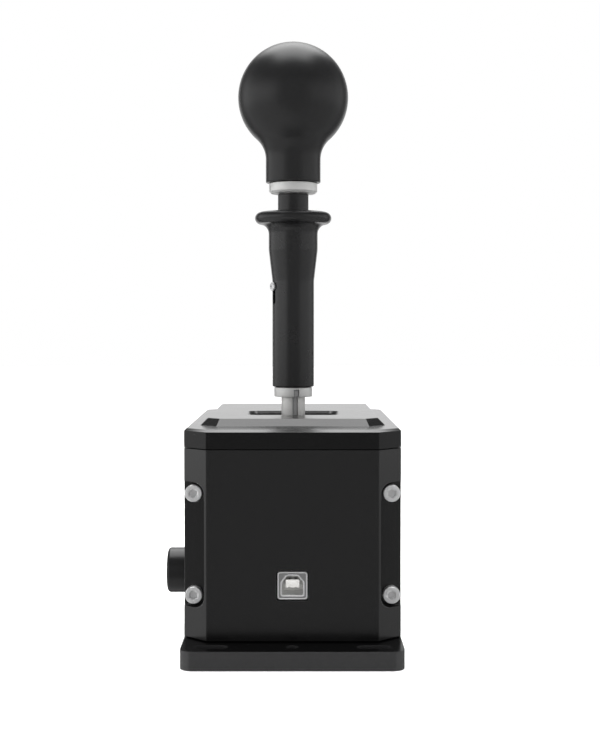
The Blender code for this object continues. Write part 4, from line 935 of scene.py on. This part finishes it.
# %% Ball knob and its ring
knob_low, knob_high = span("gear_knob")
ring_low, ring_high = span("knob_ring")
BALL, KNOB_NECK, KNOB_FILLET, KNOB_BORE = mm(24.2, 12.05, 12, 22.3)
KNOB_ROUNDS = mm(0, 0.5, 0.3, 0.3, 0)
RING_CHAMFER = 0.9 * MM
RING_ROUNDS = mm(0.1, 0.2, 0.12, 0.12, 0.1)
SLOT_WIDTH, SLOT_LENGTH, SLOT_SHIFT = mm(0.5, 2.4, 0.2)
SLOT_TURN = math.radians(19)


def gear_knob():
    """Ball, fillet, neck with a broken edge, and the bore."""
    centre = knob_high[2] - BALL
    across = KNOB_NECK + KNOB_FILLET
    drop = math.sqrt((BALL + KNOB_FILLET) ** 2 - across ** 2)
    lean = math.degrees(math.atan2(drop, across))
    ball = arc((0, centre), BALL, 90, -lean, 72)
    ball[0] = (0, knob_high[2])
    blend = arc((across, centre - drop), KNOB_FILLET, 180 - lean, 180, 20)[1:]
    foot = soften([blend[-1], (KNOB_NECK, knob_low[2]), (SHAFT + SLACK, knob_low[2]),
                   (SHAFT + SLACK, knob_low[2] + KNOB_BORE), (0, knob_low[2] + KNOB_BORE)],
                  KNOB_ROUNDS, 6, closed=False)
    return smooth(turned("gear_knob_moulded", np.vstack([ball, blend, foot[1:]]), LEVER, columns=160))


def knob_ring():
    """Lock ring: chamfered foot, broken top edge, and a spanner slot on each side."""
    radius, foot, top = ring_high[0], ring_low[2], ring_high[2]
    corners = [(SHAFT + SLACK, top), (radius, top), (radius, foot + RING_CHAMFER), (radius - RING_CHAMFER, foot),
               (SHAFT + SLACK, foot)]
    ring = turned("knob_ring_turned", soften(corners, RING_ROUNDS, 4), LEVER, ring=True)
    slot = box_outline(SLOT_LENGTH / 2, SLOT_WIDTH / 2, CUT_CORNER, 3) - (radius + SLOT_SHIFT, 0)
    slots = [prism("spanner_slot", about_lever(slot, SLOT_TURN + side * math.pi), top + OVER, foot - OVER)
             for side in (0, 1)]
    return smooth(carve(ring, *slots))


settle(gear_knob(), "lever", "knob_black", "gear_knob")
settle(knob_ring(), "lever", "machined_aluminium", "knob_ring")

# %% [markdown]
# ## Side knob
# A small turned knob on the left sets how hard the lever is to move. Its outer edge is rounded, its end is
# slightly dished, and its back is bored for the screw.

# %% Side knob, its screw and its pad
side_low, side_high = span("resistance_knob")
feed_low, feed_high = span("resistance_screw")
DISH = 0.4 * MM
DISH_SHARES = (0.45, 0.62)
SIDE_ROUNDS = mm(0, 1.5, 1.2, 1.5, 0.3, 0.2, 0.2, 0)
PITCH, THREAD_DEPTH, THREAD_CHAMFER = mm(1, 0.35, 0.6)


def side_knob():
    """Dished end, rounded edge, straight side and the bore in its back, along -X."""
    out, back, radius = -side_low[0], -side_high[0], (side_high[2] - side_low[2]) / 2
    grip = (feed_high[2] - feed_low[2]) / 2 + SLACK
    bottom = -feed_low[0] + SLACK
    floor, lip = np.array(DISH_SHARES) * radius
    profile = [(0, out - DISH), (floor, out - DISH), (lip, out), (radius, out), (radius, back), (grip, back),
               (grip, bottom), (0, bottom)]
    rounded = soften(profile, SIDE_ROUNDS, 10, closed=False)
    return smooth(turned("side_knob_turned", rounded, middle("resistance_knob") * (0, 1, 1), "-X", 144))


def feed_screw():
    """The knob's screw: a shank with shallow V rings for its thread, and chamfered ends."""
    start, stop, radius = -feed_high[0], -feed_low[0], (feed_high[2] - feed_low[2]) / 2
    turns = np.arange(int((stop - start - 2 * PITCH) / (PITCH / 2)) + 1)
    thread = np.column_stack([radius - (turns % 2) * THREAD_DEPTH, stop - PITCH - turns * PITCH / 2])
    end = radius - THREAD_CHAMFER
    profile = np.vstack([[(0, stop), (end, stop)], thread, [(end, start), (0, start)]])
    return smooth(turned("resistance_screw_turned", profile, middle("resistance_screw") * (0, 1, 1), "-X", 64), 20)


settle(side_knob(), "side_knob", "knob_black", "resistance_knob", look="side_knob_black")
settle(feed_screw(), "side_knob", "ground_steel", "resistance_screw", look="bright_steel")

# %% [markdown]
# ## Springs
# Two springs are pressed by a sliding piece: the sleeve's return spring, and the one under the detent plunger.
# Each is round wire on a helix whose end turns lie flat.

# %% Springs
FLAT_TURNS = 0.75


def coil_spring(name, node, wire, turns, columns=12, steps=24):
    """Round wire on a helix: x = r cos a, y = r sin a, and z rises evenly except over the flat end turns."""
    low, high = span(node)
    mean = (high - low)[:2].max() / 2 - wire
    t = np.linspace(0, turns, turns * steps + 1)
    rise = np.clip((t - FLAT_TURNS) / (turns - 2 * FLAT_TURNS), 0, 1)
    out = np.column_stack([np.cos(2 * np.pi * t), np.sin(2 * np.pi * t), np.zeros(len(t))])
    centre = middle(node) * (1, 1, 0) + mean * out
    centre[:, 2] = low[2] + wire + rise * (high[2] - low[2] - 2 * wire)
    along = np.gradient(centre, axis=0)
    up = np.cross(along / np.linalg.norm(along, axis=1, keepdims=True), out)
    turn = np.linspace(0, 2 * np.pi, columns, endpoint=False)[None, :, None]
    return smooth(loft(name, centre[:, None] + wire * (np.cos(turn) * out[:, None] + np.sin(turn) * up[:, None])), 60)


PLUNGE = 1 * MM
SPRINGS = [("sleeve_return_spring", 0.5 * MM, 6, "lever", "collar_lift", LIFT, 1),
           ("detent_spring", 0.3 * MM, 3, "housing", "plunger_retract", PLUNGE, 0)]
for node, wire, turns, body, joint, travel, fixed in SPRINGS:
    spring = settle(coil_spring(node + "_wound", node, wire, turns), body, "spring_steel", node)
    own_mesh(spring)

# %% [markdown]
# ## The pieces inside
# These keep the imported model's own shape, since they are hidden or glimpsed through the window. A broken edge
# on each lets it catch the light as a machined piece does.

# %% Broken edges on the inner pieces
INNER = ["cradle_frame", "lever_hub", "gate_plate", "detent_housing", "detent_sector", "brake_cheek", "tilt_sensor",
         "select_sensor", "main_circuit_board"]
for name in INNER:
    edge = frame["nodes"][name].modifiers.new("broken_edge", "BEVEL")
    edge.width, edge.segments = FINE_EDGE, 2
    edge.limit_method, edge.angle_limit = "ANGLE", math.radians(40)
    edge.harden_normals = True
print("edges broken on", len(INNER), "inner pieces")

# %% [markdown]
# ## Studio
# The light is what makes black parts readable. A satin black surface that faces the camera shows the dim room
# behind it, so it stays near black; a surface turned 45 degrees shows the bright sides, so it is lighter; and
# the cover, seen almost edge on, shows the white wall behind. The world's brightness is therefore a function of
# direction: dim towards the camera, bright at the sides, top and back. The camera itself sees plain white.

# %% Floor, world and soft boxes
FLOOR_RADIUS = 4
FLOOR_TOP, FLOOR_FOOT = -0.2 * MM, -5 * MM
ROOM, FRONT, LEFT, RIGHT, BACK, OVERHEAD = 0.08, 0.17, 0.85, 0.52, 1.05, 3.4
LAMPS = {"left": ((-0.9, -0.25, 0.5), (0, 0, 0.12), (0.7, 0.9), 8),
         "right": ((0.9, -0.15, 0.5), (0, 0, 0.12), (0.6, 0.9), 8),
         "front": ((0.1, -1.3, 0.4), (0, 0, 0.1), (0.9, 0.9), 8),
         "top": ((0, 0.2, 1.2), (0, 0, 0), (1.2, 1.2), 12)}


def pale_floor():
    """A wide disc under the part, which gives off a little light so that its far edge doesn't show."""
    edge = [(0, FLOOR_TOP), (FLOOR_RADIUS, FLOOR_TOP), (FLOOR_RADIUS, FLOOR_FOOT), (0, FLOOR_FOOT)]
    floor = turned("floor", edge, (0, 0, 0), columns=96)
    look = bpy.data.materials.new("floor_white")
    look.use_nodes = True
    feed(look.node_tree, look.node_tree.nodes["Principled BSDF"].inputs,
         {"Base Color": (0.9, 0.9, 0.9, 1), "Roughness": 0.7, "Emission Color": (1, 1, 1, 1),
          "Emission Strength": 0.3})
    floor.data.materials.append(look)
    floor.visible_glossy = False
    return floor


def studio_world():
    """Brightness by direction, as the sum of the room's parts; plain white to the camera."""
    world = bpy.data.worlds.new("studio")
    bpy.context.scene.world = world
    world.use_nodes = True
    tree = world.node_tree
    way = add(tree, "ShaderNodeTexCoord").outputs["Generated"]
    x, y, z = add(tree, "ShaderNodeSeparateXYZ", {0: way}).outputs
    beside = math_node(tree, "ABSOLUTE", x)

    def region(*ramps):
        """Smooth ramps over the directions, multiplied together."""
        first, *others = [ramp(tree, *values, kind="SMOOTHSTEP") for values in ramps]
        for other in others:
            first = math_node(tree, "MULTIPLY", first, other)
        return first

    seen = ROOM
    for part in (region((y, -0.70, -0.97, 0.0, FRONT)),
                 region((y, 0.80, 0.95, 0.0, BACK)),
                 region((y, -0.93, -0.70), (y, 0.72, 0.50), (z, 0.6, 0.15, 0.1, 1.0), (z, -0.14, -0.06, 0.55, 1.0),
                        (x, -0.3, 0.3, LEFT, RIGHT)),
                 region((z, 0.45, 0.75), (y, -0.35, -0.02), (beside, 0.50, 0.28, 0.0, OVERHEAD))):
        seen = math_node(tree, "ADD", part, seen)
    camera_ray = add(tree, "ShaderNodeLightPath").outputs["Is Camera Ray"]
    strength = add(tree, "ShaderNodeMix", {0: camera_ray, 2: seen, 3: 1.0}, data_type="FLOAT").outputs[0]
    feed(tree, tree.nodes["Background"].inputs, {"Strength": strength, "Color": (1, 1, 1, 1)})


def soft_box(name, location, aim, size, power):
    """A large area light aimed at a point. It shines on the part but isn't seen, not even in reflections."""
    light = bpy.data.lights.new(name, "AREA")
    light.shape = "RECTANGLE"
    light.size, light.size_y = size
    light.energy = power
    lamp = bpy.data.objects.new(name, light)
    bpy.context.scene.collection.objects.link(lamp)
    way = np.array(aim) - np.array(location)
    lamp.location = location
    lamp.rotation_euler = (math.atan2(np.hypot(*way[:2]), -way[2]), 0, math.atan2(way[1], way[0]) - math.pi / 2)
    lamp.visible_camera = lamp.visible_glossy = False


pale_floor()
studio_world()
for where, settings in LAMPS.items():
    soft_box("soft_box_" + where, *settings)
bpy.context.scene.view_settings.view_transform = "Standard"
print("studio ready")

# %% [markdown]
# ## Camera
# The camera stands half a metre behind the shifter at about the height of the lift sleeve, a long lens looking
# very slightly down, so that verticals stay vertical.

# %% Camera
FOCAL_LENGTH, SENSOR = 64.69, 36
STAND = (0.003, -0.591, 0.1328)
LOOK_DOWN = 1.57
lens = bpy.data.cameras.new("camera")
lens.lens, lens.sensor_width = FOCAL_LENGTH, SENSOR
camera = bpy.data.objects.new("camera", lens)
camera.location = STAND
camera.rotation_euler = (math.radians(90 - LOOK_DOWN), 0, 0)
bpy.context.scene.collection.objects.link(camera)
bpy.context.scene.camera = camera
